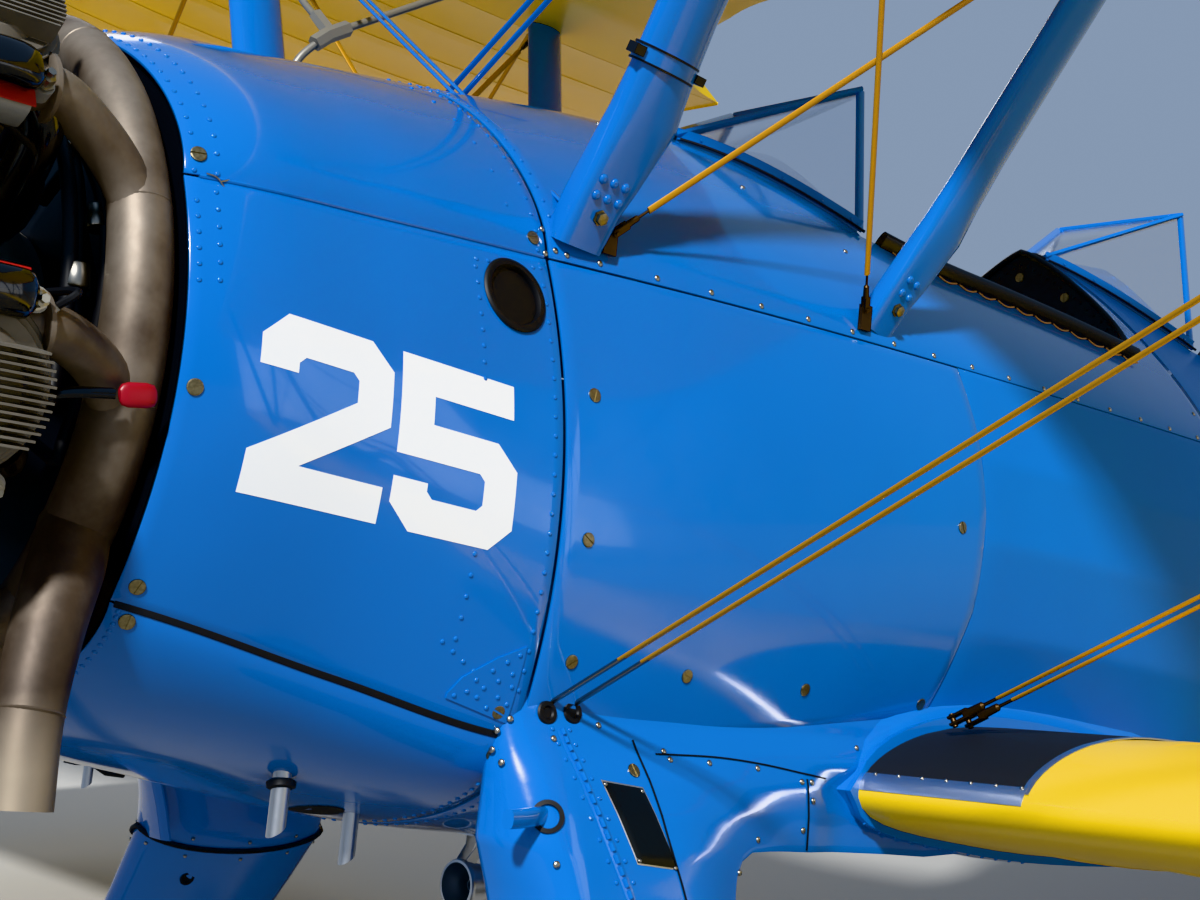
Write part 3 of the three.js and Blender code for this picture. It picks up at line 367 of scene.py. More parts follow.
# Rivets, fasteners and screws
# Dome rivets hold the cowl's stiffeners, painted over; slotted quarter-turn fasteners of bare
# cadmium-plated steel hold the panels' edges, and round-head screws the fairings.
def stud_tree():
    """Geometry nodes that stand a head on each point, along the point's own facing."""
    tree = bpy.data.node_groups.new("heads_on_a_surface", "GeometryNodeTree")
    for name, kind in (("Places", "Geometry"), ("Head", "Object"), ("Finish", "Material")):
        tree.interface.new_socket(name, in_out="INPUT", socket_type="NodeSocket" + kind)
    tree.interface.new_socket("Heads", in_out="OUTPUT", socket_type="NodeSocketGeometry")
    given = add_node(tree, "NodeGroupInput")
    facing = add_node(tree, "GeometryNodeInputNamedAttribute", {"data_type": "FLOAT_VECTOR"}, Name="facing")
    spin = add_node(tree, "GeometryNodeInputNamedAttribute", {"data_type": "FLOAT"}, Name="spin")
    upright = add_node(tree, "FunctionNodeAlignRotationToVector", {"axis": "Z"}, Vector=facing.outputs[0])
    twist = add_node(tree, "FunctionNodeAxisAngleToRotation", Axis=(0, 0, 1), Angle=spin.outputs[0])
    turned = add_node(tree, "FunctionNodeRotateRotation", {"rotation_space": "LOCAL"},
                      Rotation=upright.outputs[0], Rotate_By=twist.outputs[0])
    shape = add_node(tree, "GeometryNodeObjectInfo", Object=given.outputs["Head"])
    placed = add_node(tree, "GeometryNodeInstanceOnPoints", Points=given.outputs["Places"],
                      Instance=shape.outputs["Geometry"], Rotation=turned.outputs[0])
    real = add_node(tree, "GeometryNodeRealizeInstances", Geometry=placed.outputs[0])
    painted = add_node(tree, "GeometryNodeSetMaterial", Geometry=real.outputs[0],
                       Material=given.outputs["Finish"])
    add_node(tree, "NodeGroupOutput", Heads=painted.outputs[0])
    return tree


STUDS = stud_tree()


def turned_head(name, profile, sides=10):
    """A small turned shape standing on its own origin; profile is (radius, height) in millimetres."""
    ring = np.arange(sides) * 2 * np.pi / sides
    rows = [np.stack([r * np.cos(ring), r * np.sin(ring), np.full(sides, h)], -1) for r, h in profile]
    verts = np.concatenate(rows) / 1000
    faces = grid_faces(len(profile), sides, wrap=True)
    faces.append(tuple(range(sides))[::-1])
    faces.append(tuple(range((len(profile) - 1) * sides, len(profile) * sides)))
    mesh = bpy.data.meshes.new(name)
    mesh.from_pydata(verts.tolist(), [], faces)
    for face in mesh.polygons[:-2]:
        face.use_smooth = True
    return bpy.data.objects.new(name, mesh)


def scatter(name, head, places, facings, material, slot, body="airframe", seed=1):
    """One piece made of a head on every place, in level millimetres, each along its facing."""
    places = np.asarray(places, float).reshape(-1, 3)
    facings = np.asarray(facings, float).reshape(-1, 3)
    points = bpy.data.meshes.new(name)
    points.from_pydata([tuple(MM @ Vector(p)) for p in places], [], [])
    lean = STAND.to_3x3()
    points.attributes.new("facing", "FLOAT_VECTOR", "POINT").data.foreach_set(
        "vector", np.concatenate([np.array(lean @ Vector(f)) for f in facings]).astype(np.float32))
    points.attributes.new("spin", "FLOAT", "POINT").data.foreach_set(
        "value", np.random.default_rng(seed).uniform(0, 6.28, len(places)).astype(np.float32))
    obj = bpy.data.objects.new(name, points)
    bpy.context.scene.collection.objects.link(obj)
    heads = obj.modifiers.new("heads", "NODES")
    heads.node_group = STUDS
    inputs = {item.name: item.identifier for item in STUDS.interface.items_tree if item.in_out == "INPUT"}
    heads[inputs["Head"]] = head
    heads[inputs["Finish"]] = material
    solid = bpy.data.meshes.new_from_object(obj.evaluated_get(bpy.context.evaluated_depsgraph_get()))
    obj.modifiers.clear()
    obj.data = solid
    return fit(obj, slot, body=body)


def mirror_turn(turn):
    """The same height on the other side of the fuselage."""
    return np.where(np.asarray(turn) < 1, 1 - np.asarray(turn), 5 - np.asarray(turn))


def skin_row(a, b, pitch):
    """Evenly spaced (x, round_about) pairs on the port skin between two (x, z) points."""
    (x0, z0), (x1, z1) = a, b
    count = max(2, round(math.hypot(x1 - x0, z1 - z0) / pitch) + 1)
    return [(x, on_skin(x, z)) for x, z in zip(np.linspace(x0, x1, count), np.linspace(z0, z1, count))]


def on_both_sides(name, head, pairs, material, slot, lift=0.0, seed=1):
    """Heads on the skin at (x, round_about) pairs and at their mirror places."""
    x, turn = np.array([p[0] for p in pairs], float), np.array([p[1] for p in pairs], float)
    x, turn = np.concatenate([x, x]), np.concatenate([turn, mirror_turn(turn)])
    facing = skin_facing(x, turn)
    return scatter(name, head, skin(x, turn) + facing * lift, facing, material, slot, seed=seed)


def across_top(x, first, last, pitch):
    """A row over the crown at one x, between two round_about values."""
    turns = np.linspace(first, last, 400)
    length = np.concatenate([[0], np.cumsum(np.linalg.norm(np.diff(skin(x, turns), axis=0), axis=1))])
    steps = np.linspace(0, length[-1], max(2, round(length[-1] / pitch)))
    return [(x, t) for t in np.interp(steps, length, turns)]


dome_rivet = turned_head("dome_rivet", [(3.4, -0.6), (3.4, 0.2), (2.8, 1.2), (1.4, 1.8)], 9)
RIVET_ROWS = [  # from (x, z) to (x, z) on the port side, and the pitch
    ((-534, 150), (-534, 58), 20), ((-511, 165), (-511, 62), 20), ((-17, 190), (-17, -356), 25),
    ((-134, 165), (-134, 20), 22), ((-128, -196), (-128, -300), 26), ((-130, 176), (-30, 188), 22),
    ((-145, -305), (-72, -348), 20)]
rows = []
for a, b, pitch in RIVET_ROWS:
    rows += skin_row(a, b, pitch)
for x, last, pitch in ((-534, 0.985, 24), (-508, 0.985, 24), (-17, 0.98, 26), (-60, 0.9, 52), (16, 0.97, 26)):
    rows += across_top(x, 0.5, last, pitch)
rows += [(x, t) for x in (-534, -17, 18) for t in np.linspace(2.03, 2.5, 26)]
on_both_sides("cowl_rivets", dome_rivet, rows, blue_enamel, "blue_enamel")

# Cadmium plate on steel: dull yellow-grey, worn darker in spots.
cadmium, tree, shader, where = textured("cadmium_plated_steel", "#9a8f74", Metallic=1.0, Roughness=0.38)
drifting_colour(tree, shader, where, "#b5a987", "#5d5545", Scale=260.0, Detail=4.0)


def slotted_head(name, radius, height, slot_width):
    """A flat fastener head: a low disc with two raised halves that leave a screwdriver slot."""
    ring = np.arange(20) * 2 * np.pi / 20
    levels = (-0.6, height * 0.45)
    verts = [(radius * math.cos(t), radius * math.sin(t), level) for level in levels for t in ring]
    faces = grid_faces(2, 20, wrap=True) + [tuple(range(20))[::-1], tuple(range(20, 40))]
    for side in (1, -1):
        base = len(verts)
        edge = math.asin(slot_width / 2 / radius)
        arc = np.linspace(edge, math.pi - edge, 11)
        outline = [(radius * math.cos(t), side * radius * math.sin(t)) for t in arc]
        inset = [(0.86 * x, side * max(slot_width / 2, abs(0.86 * y))) for x, y in outline]
        for points, level in ((outline, 0.2), (outline, height * 0.8), (inset, height)):
            verts += [(x, y, level) for x, y in points]
        faces += grid_faces(3, 11, base, wrap=True)
        faces += [tuple(base + i for i in range(11)), tuple(base + 22 + i for i in range(11))]
    mesh = bpy.data.meshes.new(name)
    mesh.from_pydata([(x / 1000, y / 1000, z / 1000) for x, y, z in verts], [], faces)
    shape = bmesh.new()
    shape.from_mesh(mesh)
    bmesh.ops.recalc_face_normals(shape, faces=shape.faces)
    shape.to_mesh(mesh)
    shape.free()
    return bpy.data.objects.new(name, mesh)


quarter_turn = slotted_head("quarter_turn_head", 9.5, 2.0, 2.6)
FASTENERS = [  # (x, z) of each on the port side
    (-529, 206), (-24, 230), (-527, -60), (-525, -279), (-522, -318), (-38, -385), (-27, -438),
    (52, 31), (47, -158), (54, -314), (264, -318), (515, -321), (812, -326), (828, -46),
]
places = [(x, on_skin(x, z)) for x, z in FASTENERS]
on_both_sides("quarter_turn_fasteners", quarter_turn, places, cadmium, "bare_steel", lift=0.2, seed=4)


# Number and doubler plates
# A plain block number in white paint and a riveted corner doubler on each side of the cowl.
def skin_patch(name, outline, lift, thickness, material, side=-1, step=14):
    """A thin closed plate that follows the skin inside an (x, z) outline on one side."""
    ring = []
    for (x0, z0), (x1, z1) in zip(outline, outline[1:] + outline[:1]):
        count = max(1, math.ceil(math.hypot(x1 - x0, z1 - z0) / step))
        ring += [Vector((x0 + (x1 - x0) * i / count, z0 + (z1 - z0) * i / count)) for i in range(count)]
    (low_x, low_z), (high_x, high_z) = np.min(outline, 0), np.max(outline, 0)
    inside = [Vector((x, z)) for x in np.arange(low_x + 5, high_x, step)
              for z in np.arange(low_z + 5, high_z, step)]
    edges = [(i, (i + 1) % len(ring)) for i in range(len(ring))]
    flat, _, triangles, _, _, _ = delaunay_2d_cdt(ring + inside, edges, [], 1, 1e-5)
    x = np.array([p.x for p in flat])
    turn = np.array([on_skin(p.x, p.y, side) for p in flat])
    facing = skin_facing(x, turn)
    place = skin(x, turn)
    verts = np.concatenate([place + facing * (lift + thickness), place + facing * lift])
    shift = len(flat)
    faces = [tuple(t) for t in triangles] + [tuple(v + shift for v in t[::-1]) for t in triangles]
    used = {(t[k], t[(k + 1) % 3]): True for t in triangles for k in range(3)}
    faces += [(b, a, a + shift, b + shift) for a, b in used if (b, a) not in used]
    return piece(name, (verts, faces), material, "blue_enamel")


number_paint, _, _ = new_material("white_number_paint", "#eef0f2", Roughness=0.3, Coat_Weight=0.3)
DIGITS = {  # block digits on a cell 170 wide and 213 high
    "two": [(0, 0), (170, 0), (170, 44), (62, 44), (170, 116), (170, 183), (140, 213), (30, 213), (0, 183),
            (0, 148), (46, 148), (46, 160), (54, 168), (116, 168), (124, 160), (124, 134), (0, 50)],
    "five": [(0, 213), (162, 213), (162, 169), (46, 169), (46, 134), (140, 134), (170, 104), (170, 30),
             (140, 0), (30, 0), (0, 30), (0, 62), (46, 62), (46, 52), (54, 44), (116, 44), (124, 52),
             (124, 82), (116, 90), (0, 90)],
}
DIGIT_FOOT = -178
DIGIT_TALL = 208 / 213
DIGIT_WIDE = 1.08
DOUBLER = [(-22, -300), (-62, -318), (-104, -345), (-118, -366), (-118, -372), (-22, -398)]
for side, word, starts in ((-1, "port", (-458, -262)), (1, "starboard", (-78, -274))):
    for digit, start in zip(DIGITS, starts):
        outline = []
        for x, z in DIGITS[digit]:
            along = start - side * x * DIGIT_WIDE
            outline.append((along, DIGIT_FOOT + z * DIGIT_TALL - 0.07 * (along + 270)))
        skin_patch(f"number_{digit}_{word}", outline, 0.1, 0.35, number_paint, side)
    skin_patch(f"corner_doubler_{word}", DOUBLER, -0.2, 2.2, blue_enamel, side)
DOUBLER_RIVETS = [(-30, -312), (-46, -322), (-64, -334), (-84, -347), (-34, -336), (-52, -346), (-70, -356),
                  (-30, -352), (-92, -362), (-76, -368), (-108, -368), (-30, -374), (-46, -366), (-58, -380)]
places = [(x, on_skin(x, z)) for x, z in DOUBLER_RIVETS]
on_both_sides("doubler_rivets", dome_rivet, places, blue_enamel, "blue_enamel", lift=2.0)


# Forward deck, side panels and belly
# Sheet aluminium over the tube frame from the firewall to behind the front cockpit, edge-fastened
# and enamelled like the cowl. The cockpit opening is cut out of the deck.
def cut_away(obj, *cutters):
    """Takes closed cutter objects out of a closed object."""
    for cutter in cutters:
        change = obj.modifiers.new("cut", "BOOLEAN")
        change.solver = "EXACT"
        change.object = cutter
    mesh = bpy.data.meshes.new_from_object(obj.evaluated_get(bpy.context.evaluated_depsgraph_get()))
    obj.modifiers.clear()
    obj.data = mesh
    shape = bmesh.new()
    shape.from_mesh(mesh)
    for edge in shape.edges:
        edge.smooth = len(edge.link_faces) == 2 and edge.calc_face_angle(0) < math.radians(38)
    shape.to_mesh(mesh)
    shape.free()
    for cutter in cutters:
        bpy.data.objects.remove(cutter)
    return obj


def curve_through(points, count, closed=False):
    """Evenly many points on a smooth curve through the given ones."""
    p = np.asarray(points, float)
    n = len(p)
    ends = (p[-1:], p[:2]) if closed else (2 * p[:1] - p[1:2], 2 * p[-1:] - p[-2:-1])
    q = np.concatenate([ends[0], p, ends[1]])
    spans = n if closed else n - 1
    at = np.linspace(0, spans, count, endpoint=not closed)
    i = np.minimum(at.astype(int), spans - 1)
    t = (at - i)[:, None]
    a, b, c, d = q[i], q[i + 1], q[i + 2], q[i + 3]
    return 0.5 * (2 * b + (c - a) * t + (2 * a - 5 * b + 4 * c - d) * t * t
                  + (3 * b - a - 3 * c + d) * t ** 3)


def on_deck(x, y):
    """Points of the skin above the hinge lines over the plan places x, y."""
    x, y = np.broadcast_arrays(np.asarray(x, float), np.asarray(y, float))
    s = section_sizes(x)
    flat = np.clip(np.abs(y) / s["hinge_w"], 0, 1) ** s["round"]
    return np.stack([x, y, s["hinge_z"] + (1 - flat) ** (1 / s["round"]) * (s["crown"] - s["hinge_z"])], -1)


def loft_shape(rings, closed=False):
    """Points and faces of a skin over rings of equally many points, with flat ends or closed on itself."""
    n, m = len(rings), len(rings[0])
    ends = [] if closed else [tuple(range(m))[::-1], tuple(range((n - 1) * m, n * m))]
    return np.concatenate(rings), grid_faces(n, m, wrap=True, closed=closed) + ends


def plan_prism(name, plan, low, high):
    """A straight-sided closed cutter over a plan outline."""
    return make_object(name, *loft_shape([[(x, y, z) for x, y in plan] for z in (low, high)]), blue_enamel)


OPENING = [(800, -246), (950, -280), (1150, -294), (1350, -308), (1545, -326), (1605, -250), (1622, -120),
           (1626, 0)]
COCKPIT_PITCH = 1113
REAR_OPENING = 0.96


def opening_plan(shift, narrow, grow=0):
    """The cockpit opening's outline in plan, from the starboard front corner round the back to port."""
    half = curve_through(OPENING[:5], 26)[:-1].tolist() + curve_through(OPENING[4:], 12).tolist()
    port = [(x + shift + (grow if x > 1560 else 0), y * narrow - grow) for x, y in half]
    return port + [(x, -y) for x, y in port[-2::-1]]


DECK_END = 1700
CUT_FROM, CUT_TO = 225, 900  # heights between which an opening is cut
deck = make_object("forward_deck_sheet", *skin_sheet(2, DECK_END, (0, 1), (60, 84)), blue_enamel)
cut_away(deck, plan_prism("front_opening", opening_plan(0, 1), CUT_FROM, CUT_TO))
fit(deck, "blue_enamel", "forward_deck")


PANEL_EDGE = [  # share down the side, x
    (0.0, 868), (0.18, 886), (0.42, 894), (0.7, 884), (0.9, 850), (1.0, 832)]


def panel_edge(turn):
    """Where the metal ends on a side, at each round_about value."""
    down = np.where(np.asarray(turn) < 2.5, np.asarray(turn) - 1, 4 - np.asarray(turn))
    return np.interp(np.clip(down, 0, 1), *np.array(PANEL_EDGE).T)


CURVED_LIP = 0.002  # share of a curved panel's length at which its edge rolls under
for turns, node in ((PORT_SIDE, "side_panel_left"), (STARBOARD_SIDE, "side_panel_right")):
    sheet = skin_sheet(2, panel_edge, turns, (40, 44), lip=CURVED_LIP)
    piece(node + "_sheet", sheet, blue_enamel, "blue_enamel", node)
BELLY_END = PANEL_EDGE[-1][1]
piece("belly_sheet", skin_sheet(2, BELLY_END, (2, 3), (30, 48), lip=CURVED_LIP), blue_enamel, "blue_enamel")


def screw_head(name, radius):
    """A round-head screw, with its profile as shares of the radius and heights."""
    dome = ((1, -0.5), (1, 0.3), (0.88, 1.5), (0.6, 2.3), (0.2, 2.6))
    return turned_head(name, [(radius * share, height) for share, height in dome], 12)


bright_steel, _, _ = new_material("bright_cadmium_steel_screws", "#a7a49b", Metallic=1.0, Roughness=0.3)
round_screw = screw_head("round_head_screw", 4.6)
longeron = [(14, -0.030), (34, -0.026)] + [(x, -0.026) for x in np.arange(92, 1640, 102)]
on_both_sides("longeron_screws", round_screw, [(x, 1 + t) for x, t in longeron], bright_steel, "bare_steel")
edge_screws = [(-4, 0.93), (-4, 0.985), (1652, 0.96), (1660, 0.9), (540, 0.72), (700, 0.8), (330, 0.61)]
on_both_sides("deck_screws", round_screw, edge_screws, bright_steel, "bare_steel", lift=0.2)


# Fabric-covered fuselage
# Doped fabric over stringers and frames behind the metal panels, glossy blue like the metal. It
# sags a little between the stringers, and pinked tape covers the frames.
def doped_fabric(name, base, shade):
    """Painted fabric: slightly softer gloss than the metal, with its crossed threads showing through."""
    made, tree, shader, where = textured(name, base, Roughness=0.34, Coat_Weight=0.16, Coat_Roughness=0.12,
                                         Specular_IOR_Level=0.4)
    drifting_colour(tree, shader, where, base, shade, Scale=3.0, Detail=4.0)
    warp, weft = (add_node(tree, "ShaderNodeTexWave", {"bands_direction": way}, Vector=where, Scale=900.0,
                           Distortion=0.4) for way in ("X", "Z"))
    threads = add_node(tree, "ShaderNodeMath", {"operation": "MULTIPLY"}, _0=warp.outputs["Fac"],
                       _1=weft.outputs["Fac"])
    bump = add_node(tree, "ShaderNodeBump", Height=threads.outputs[0], Strength=0.3, Distance=0.00006)
    tree.links.new(bump.outputs["Normal"], shader.inputs["Normal"])
    return made


blue_fabric = doped_fabric("blue_doped_fabric", BLUE, BLUE_SHADE)
SIDE_STRINGERS = [1.0, 1.26, 1.5, 1.76, 2.0]
BELLY_STRINGERS = [2.0, 2.18, 2.4, 2.6, 2.82, 3.0]
DECK_STRINGERS = [0.0, 0.14, 0.26, 0.38, 0.5, 0.62, 0.74, 0.86, 1.0]
STRINGERS = np.array(DECK_STRINGERS + SIDE_STRINGERS[1:] + BELLY_STRINGERS[1:]
                     + [5 - t for t in SIDE_STRINGERS[-2::-1]])
FRAMES = [880, 1640, 2240, 2760, 3200, 3680, 4180, 4700, 5180, 5640]
FUSELAGE_END = 5655


def fabric_sag(x, turn):
    """How far the fabric lies below the stringers' line."""
    i = np.clip(np.searchsorted(STRINGERS, turn, side="right") - 1, 0, len(STRINGERS) - 2)
    share = (turn - STRINGERS[i]) / (STRINGERS[i + 1] - STRINGERS[i])
    nearest = np.min(np.abs(np.asarray(x)[..., None] - np.array(FRAMES)), -1)
    slack = np.clip(nearest / 90, 0, 1)
    width = (STRINGERS[i + 1] - STRINGERS[i]) / 0.25
    taper = np.clip((FUSELAGE_END - x) / 2500, 0.15, 1)
    return 4.2 * width * 4 * share * (1 - share) * (0.35 + 0.65 * slack) * taper


def turtledeck_sag(x, turn):
    """The fabric hangs free only behind the rear cockpit; sheet metal lies under it before that."""
    return fabric_sag(x, turn) * np.clip((x - 2820) / 200, 0, 1)


def metal_end(turn):
    """Where the fabric begins on the sides and under the belly."""
    return np.where((turn > 2) & (turn < 3), BELLY_END, panel_edge(turn))


FABRIC_SEAM = 0.8
sides = skin_sheet(metal_end, FUSELAGE_END, (1, 4), (90, 150), fabric_sag, FABRIC_SEAM, CURVED_LIP)
piece("fuselage_fabric_sides", sides, blue_fabric, "blue_fabric", "aft_fuselage")
over = skin_sheet(DECK_END, FUSELAGE_END, (0, 1), (90, 84), turtledeck_sag, FABRIC_SEAM, CURVED_LIP)
turtledeck = make_object("turtledeck", *over, blue_fabric)
rear_plan = opening_plan(COCKPIT_PITCH, REAR_OPENING)
cut_away(turtledeck, plan_prism("rear_opening", rear_plan, CUT_FROM, CUT_TO))
fit(turtledeck, "blue_fabric")
end_ring = skin(FUSELAGE_END - 1.5, np.linspace(0, 4, 64, endpoint=False))
piece("tail_end_plate", loft_shape([end_ring, end_ring - (3, 0, 0)]), blue_fabric, "blue_fabric")


def tape_band(x, width, lift=0.5):
    """A strip of pinked finishing tape round the skin at one x, following the fabric's sag."""
    around = np.linspace(1.004, 3.996, 220)
    grid_x, grid_turn = np.meshgrid(np.linspace(x - width / 2, x + width / 2, 4), around, indexing="ij")
    facing = skin_facing(grid_x, grid_turn)
    points = skin(grid_x, grid_turn) + facing * (lift - fabric_sag(grid_x, grid_turn))[..., None]
    return sheet_shell(points, facing, 0.9)


for number, x in enumerate(FRAMES[2:-1]):
    piece(f"frame_tape_{number + 1}", tape_band(x, 50), blue_fabric, "blue_fabric")


# Cockpits
# Padded black leather coamings laced with tan cord, a riveted black bulkhead behind the front
# cockpit, black instrument panels and green-primed seats.
def swept_shape(path, section, across=None, scale=1.0, closed=False):
    """Points and faces of a section carried along a path; its first axis leans towards across."""
    path = np.asarray(path, float)
    section = np.asarray(section, float)
    ahead = np.roll(path, -1, 0) - np.roll(path, 1, 0) if closed else np.gradient(path, axis=0)
    ahead /= np.linalg.norm(ahead, axis=1, keepdims=True)
    if across is None:
        start = np.eye(3)[np.argmin(np.abs(ahead[0]))]
        side = [np.cross(ahead[0], start) / np.linalg.norm(np.cross(ahead[0], start))]
        for step in ahead[1:]:
            turned = side[-1] - step * (step @ side[-1])
            side.append(turned / np.linalg.norm(turned))
        side = np.array(side)
    else:
        side = np.broadcast_to(np.asarray(across, float), path.shape)
        side = side - ahead * np.sum(ahead * side, 1, keepdims=True)
        side /= np.linalg.norm(side, axis=1, keepdims=True)
    other = np.cross(ahead, side)
    size = np.broadcast_to(np.asarray(scale, float), (len(path),))[:, None]
    rings = (path[:, None] + (section[None, :, 0] * size)[..., None] * side[:, None]
             + (section[None, :, 1] * size)[..., None] * other[:, None])
    return loft_shape(rings, closed)


def joined(shapes):
    """Several (points, faces) shapes as one."""
    verts, faces, shift = [], [], 0
    for points, polygons in shapes:
        verts.append(np.asarray(points, float))
        faces += [tuple(i + shift for i in polygon) for polygon in polygons]
        shift += len(points)
    return np.concatenate(verts), faces


def oval(width, height=None, sides=14, power=2.0):
    """An oval outline of the given full width and height; higher powers are squarer."""
    turn = np.arange(sides) * 2 * np.pi / sides
    c, s = np.cos(turn), np.sin(turn)
    return np.stack([np.sign(c) * np.abs(c) ** (2 / power) * width / 2,
                     np.sign(s) * np.abs(s) ** (2 / power) * (height or width) / 2], -1)


def turned_shape(profile, centre, axis, sides=32, ring=False):
    """Points and faces turned about an axis; profile is (radius, height), a ring's closes on itself."""
    axis = np.asarray(axis, float) / np.linalg.norm(axis)
    u = np.cross(axis, np.eye(3)[np.argmin(np.abs(axis))])
    u /= np.linalg.norm(u)
    v = np.cross(axis, u)
    turn = np.arange(sides) * 2 * np.pi / sides
    spoke = np.cos(turn)[:, None] * u + np.sin(turn)[:, None] * v
    return loft_shape([np.asarray(centre, float) + axis * h + spoke * r for r, h in profile], ring)


def box_shape(centre, half, turn=np.eye(3)):
    """Points and faces of a block about its centre, with half sizes and a 3x3 turn."""
    rings = [np.array([(x, y, z) for x, y in CORNERS], float) * half @ np.asarray(turn).T for z in (-1, 1)]
    return loft_shape([ring + np.asarray(centre, float) for ring in rings])


def mirrored_shape(shape):
    """The same shape on the other side of the aircraft."""
    verts, faces = shape
    return np.asarray(verts, float) * (1, -1, 1), [tuple(face[::-1]) for face in faces]


def both_sides(shapes):
    """The shapes and their mirror images as one."""
    return joined(list(shapes) + [mirrored_shape(shape) for shape in shapes])


def pair(name, shape, material, slot, *stands_for):
    """A piece on the port side and its mirror image; {} in a name becomes left or right."""
    for word, made in (("left", shape), ("right", mirrored_shape(shape))):
        nodes = [node.format(word) for node in stands_for]
        piece(name.format(word), made, material, slot, *nodes)


def unit(vector):
    """Vectors of length one."""
    vector = np.asarray(vector, float)
    return vector / np.linalg.norm(vector, axis=-1, keepdims=True)


black_leather, tree, shader, where = textured("black_leather", "#17171a", Roughness=0.42, Coat_Weight=0.15)
grain = add_node(tree, "ShaderNodeTexVoronoi", Vector=where, Scale=380.0)
bump = add_node(tree, "ShaderNodeBump", Height=grain.outputs["Distance"], Strength=0.35, Distance=0.0008)
tree.links.new(bump.outputs["Normal"], shader.inputs["Normal"])
tan_cord, _, _ = new_material("tan_waxed_lacing", "#b08a5e", Roughness=0.6)
black_paint, tree, shader, where = textured("black_crackle_paint", "#141518", Roughness=0.34)
raised_grain(tree, shader, where, 0.3, 0.0004, Scale=700.0)
black_rubber, _, _ = new_material("black_rubber", "#111113", Roughness=0.55)
gloss_black, _, _ = new_material("gloss_black_enamel", "#0b0b0d", Roughness=0.14, Coat_Weight=0.5)


def coaming(name, shift, narrow, first, last):
    """Leather rolls on both sides of an opening, a beading round its back, and their lacing."""
    half = curve_through(OPENING[:5], 60)
    half = half[(half[:, 0] >= first) & (half[:, 0] <= last)]
    side = on_deck(half[:, 0] + shift, half[:, 1] * narrow)
    roll = swept_shape(side + (0, 0, 7), oval(22, 40, 16, 2.4), across=(0, 0.75, 0.65))
    leather = piece(f"{name}_leather", both_sides([roll]), black_leather, "black_metal")
    back = curve_through(OPENING[4:], 20)
    back = np.concatenate([back, back[-2::-1] * (1, -1)])
    rim = swept_shape(on_deck(back[:, 0] + shift, back[:, 1] * narrow) + (0, 0, 1), oval(13, 13, 10))
    piece(f"{name}_beading", rim, black_rubber, "tyre_rubber")
    length = np.concatenate([[0], np.cumsum(np.linalg.norm(np.diff(side, axis=0), axis=1))])
    stitches = []
    for start in np.arange(14, length[-1] - 50, 54):
        along = np.linspace(start, start + 46, 6)
        path = np.stack([np.interp(along, length, side[:, k]) for k in range(3)], -1)
        bow = np.sin(np.linspace(0, np.pi, 6)) * 5
        path += np.stack([0 * bow, -15.5 - 0.2 * bow, -7.5 - bow], -1)
        stitch = swept_shape(path, oval(3.4, 3.4, 5))
        stitches += [stitch, mirrored_shape(stitch)]
    piece(f"{name}_lacing", joined(stitches), tan_cord, "black_metal")


coaming("front_coaming", 0, 1, 830, 1590)
coaming("rear_coaming", COCKPIT_PITCH, REAR_OPENING, 830, 1590)


def cabin_plate(name, x, thickness, low, high, inset, material, slot, *stands_for):
    """A flat plate across the cabin at one x, trimmed to the skin's inside between two heights."""
    turns = np.linspace(0.0, 1.0, 61)
    outline = [p for p in skin(x, turns)[:, 1:] if low < p[1] < high]
    y = np.array([p[0] for p in outline])
    z = np.minimum(np.array([p[1] for p in outline]), high) - inset
    y = y * (1 - inset / 430)
    ring = np.concatenate([[(y[0], low)], np.stack([y, z], -1), [(y[-1], low)]])
    plate = loft_shape([[(at, a, b) for a, b in ring] for at in (x, x + thickness)])
    return piece(name, plate, material, slot, *stands_for)


cabin_plate("front_cockpit_bulkhead", 1628, 5, 225, 700, 5, black_paint, "black_metal",
            "front_cockpit_back_wall")
arc = [on_deck(1628, y) for y in np.linspace(-215, 215, 27)]
arc += [on_deck(1628, y) * (1, 1, 0.9) for y in np.linspace(-120, 120, 13)]
scatter("bulkhead_rivets", dome_rivet, [p + (0, 0, -26) for p in arc], [(-1, 0, 0)] * len(arc), black_paint,
        "black_metal")
scatter("bulkhead_fasteners", quarter_turn, [(1627.5, y, z) for y, z in ((-112, 520), (112, 520), (0, 572))],
        [(-1, 0, 0)] * 3, cadmium, "bare_steel")
white_marks, _, _ = new_material("white_dial_marks", "#e6e6dc", Roughness=0.5)
DIALS = [(-190, 330, 40), (-95, 345, 40), (0, 400, 40), (0, 300, 40), (95, 345, 40), (190, 330, 40),
         (-95, 260, 28), (95, 260, 28)]
for name, shift, node in (("front", 0, "front_instrument_panel"),
                          ("rear", COCKPIT_PITCH, "rear_instrument_panel")):
    face = 770 + shift
    cabin_plate(f"{name}_panel_plate", face, 10, 230, 500 if shift == 0 else 540, 20, black_paint,
                "black_metal", node)
    bezels, marks = [], []
    for y, z, radius in DIALS:
        rim = [(radius, -2), (radius, 6), (radius - 5, 8), (radius - 7, 2)]
        bezels.append(turned_shape(rim, (face + 10, y, z), (1, 0, 0), 28))
        for turn in np.arange(10) * 2 * np.pi / 10:
            c, s = math.cos(turn), math.sin(turn)
            place = (face + 12.4, y + (radius - 13) * c, z + (radius - 13) * s)
            marks.append(box_shape(place, (0.5, 4, 1.1), [[1, 0, 0], [0, c, -s], [0, s, c]]))
        marks.append(box_shape((face + 12.6, y + 6, z + 8), (0.5, 15, 1.4),
                               [[1, 0, 0], [0, 0.6, -0.8], [0, 0.8, 0.6]]))
    piece(f"{name}_dials", joined(bezels), black_paint, "black_metal")
    piece(f"{name}_dial_marks", joined(marks), white_marks, "black_metal")
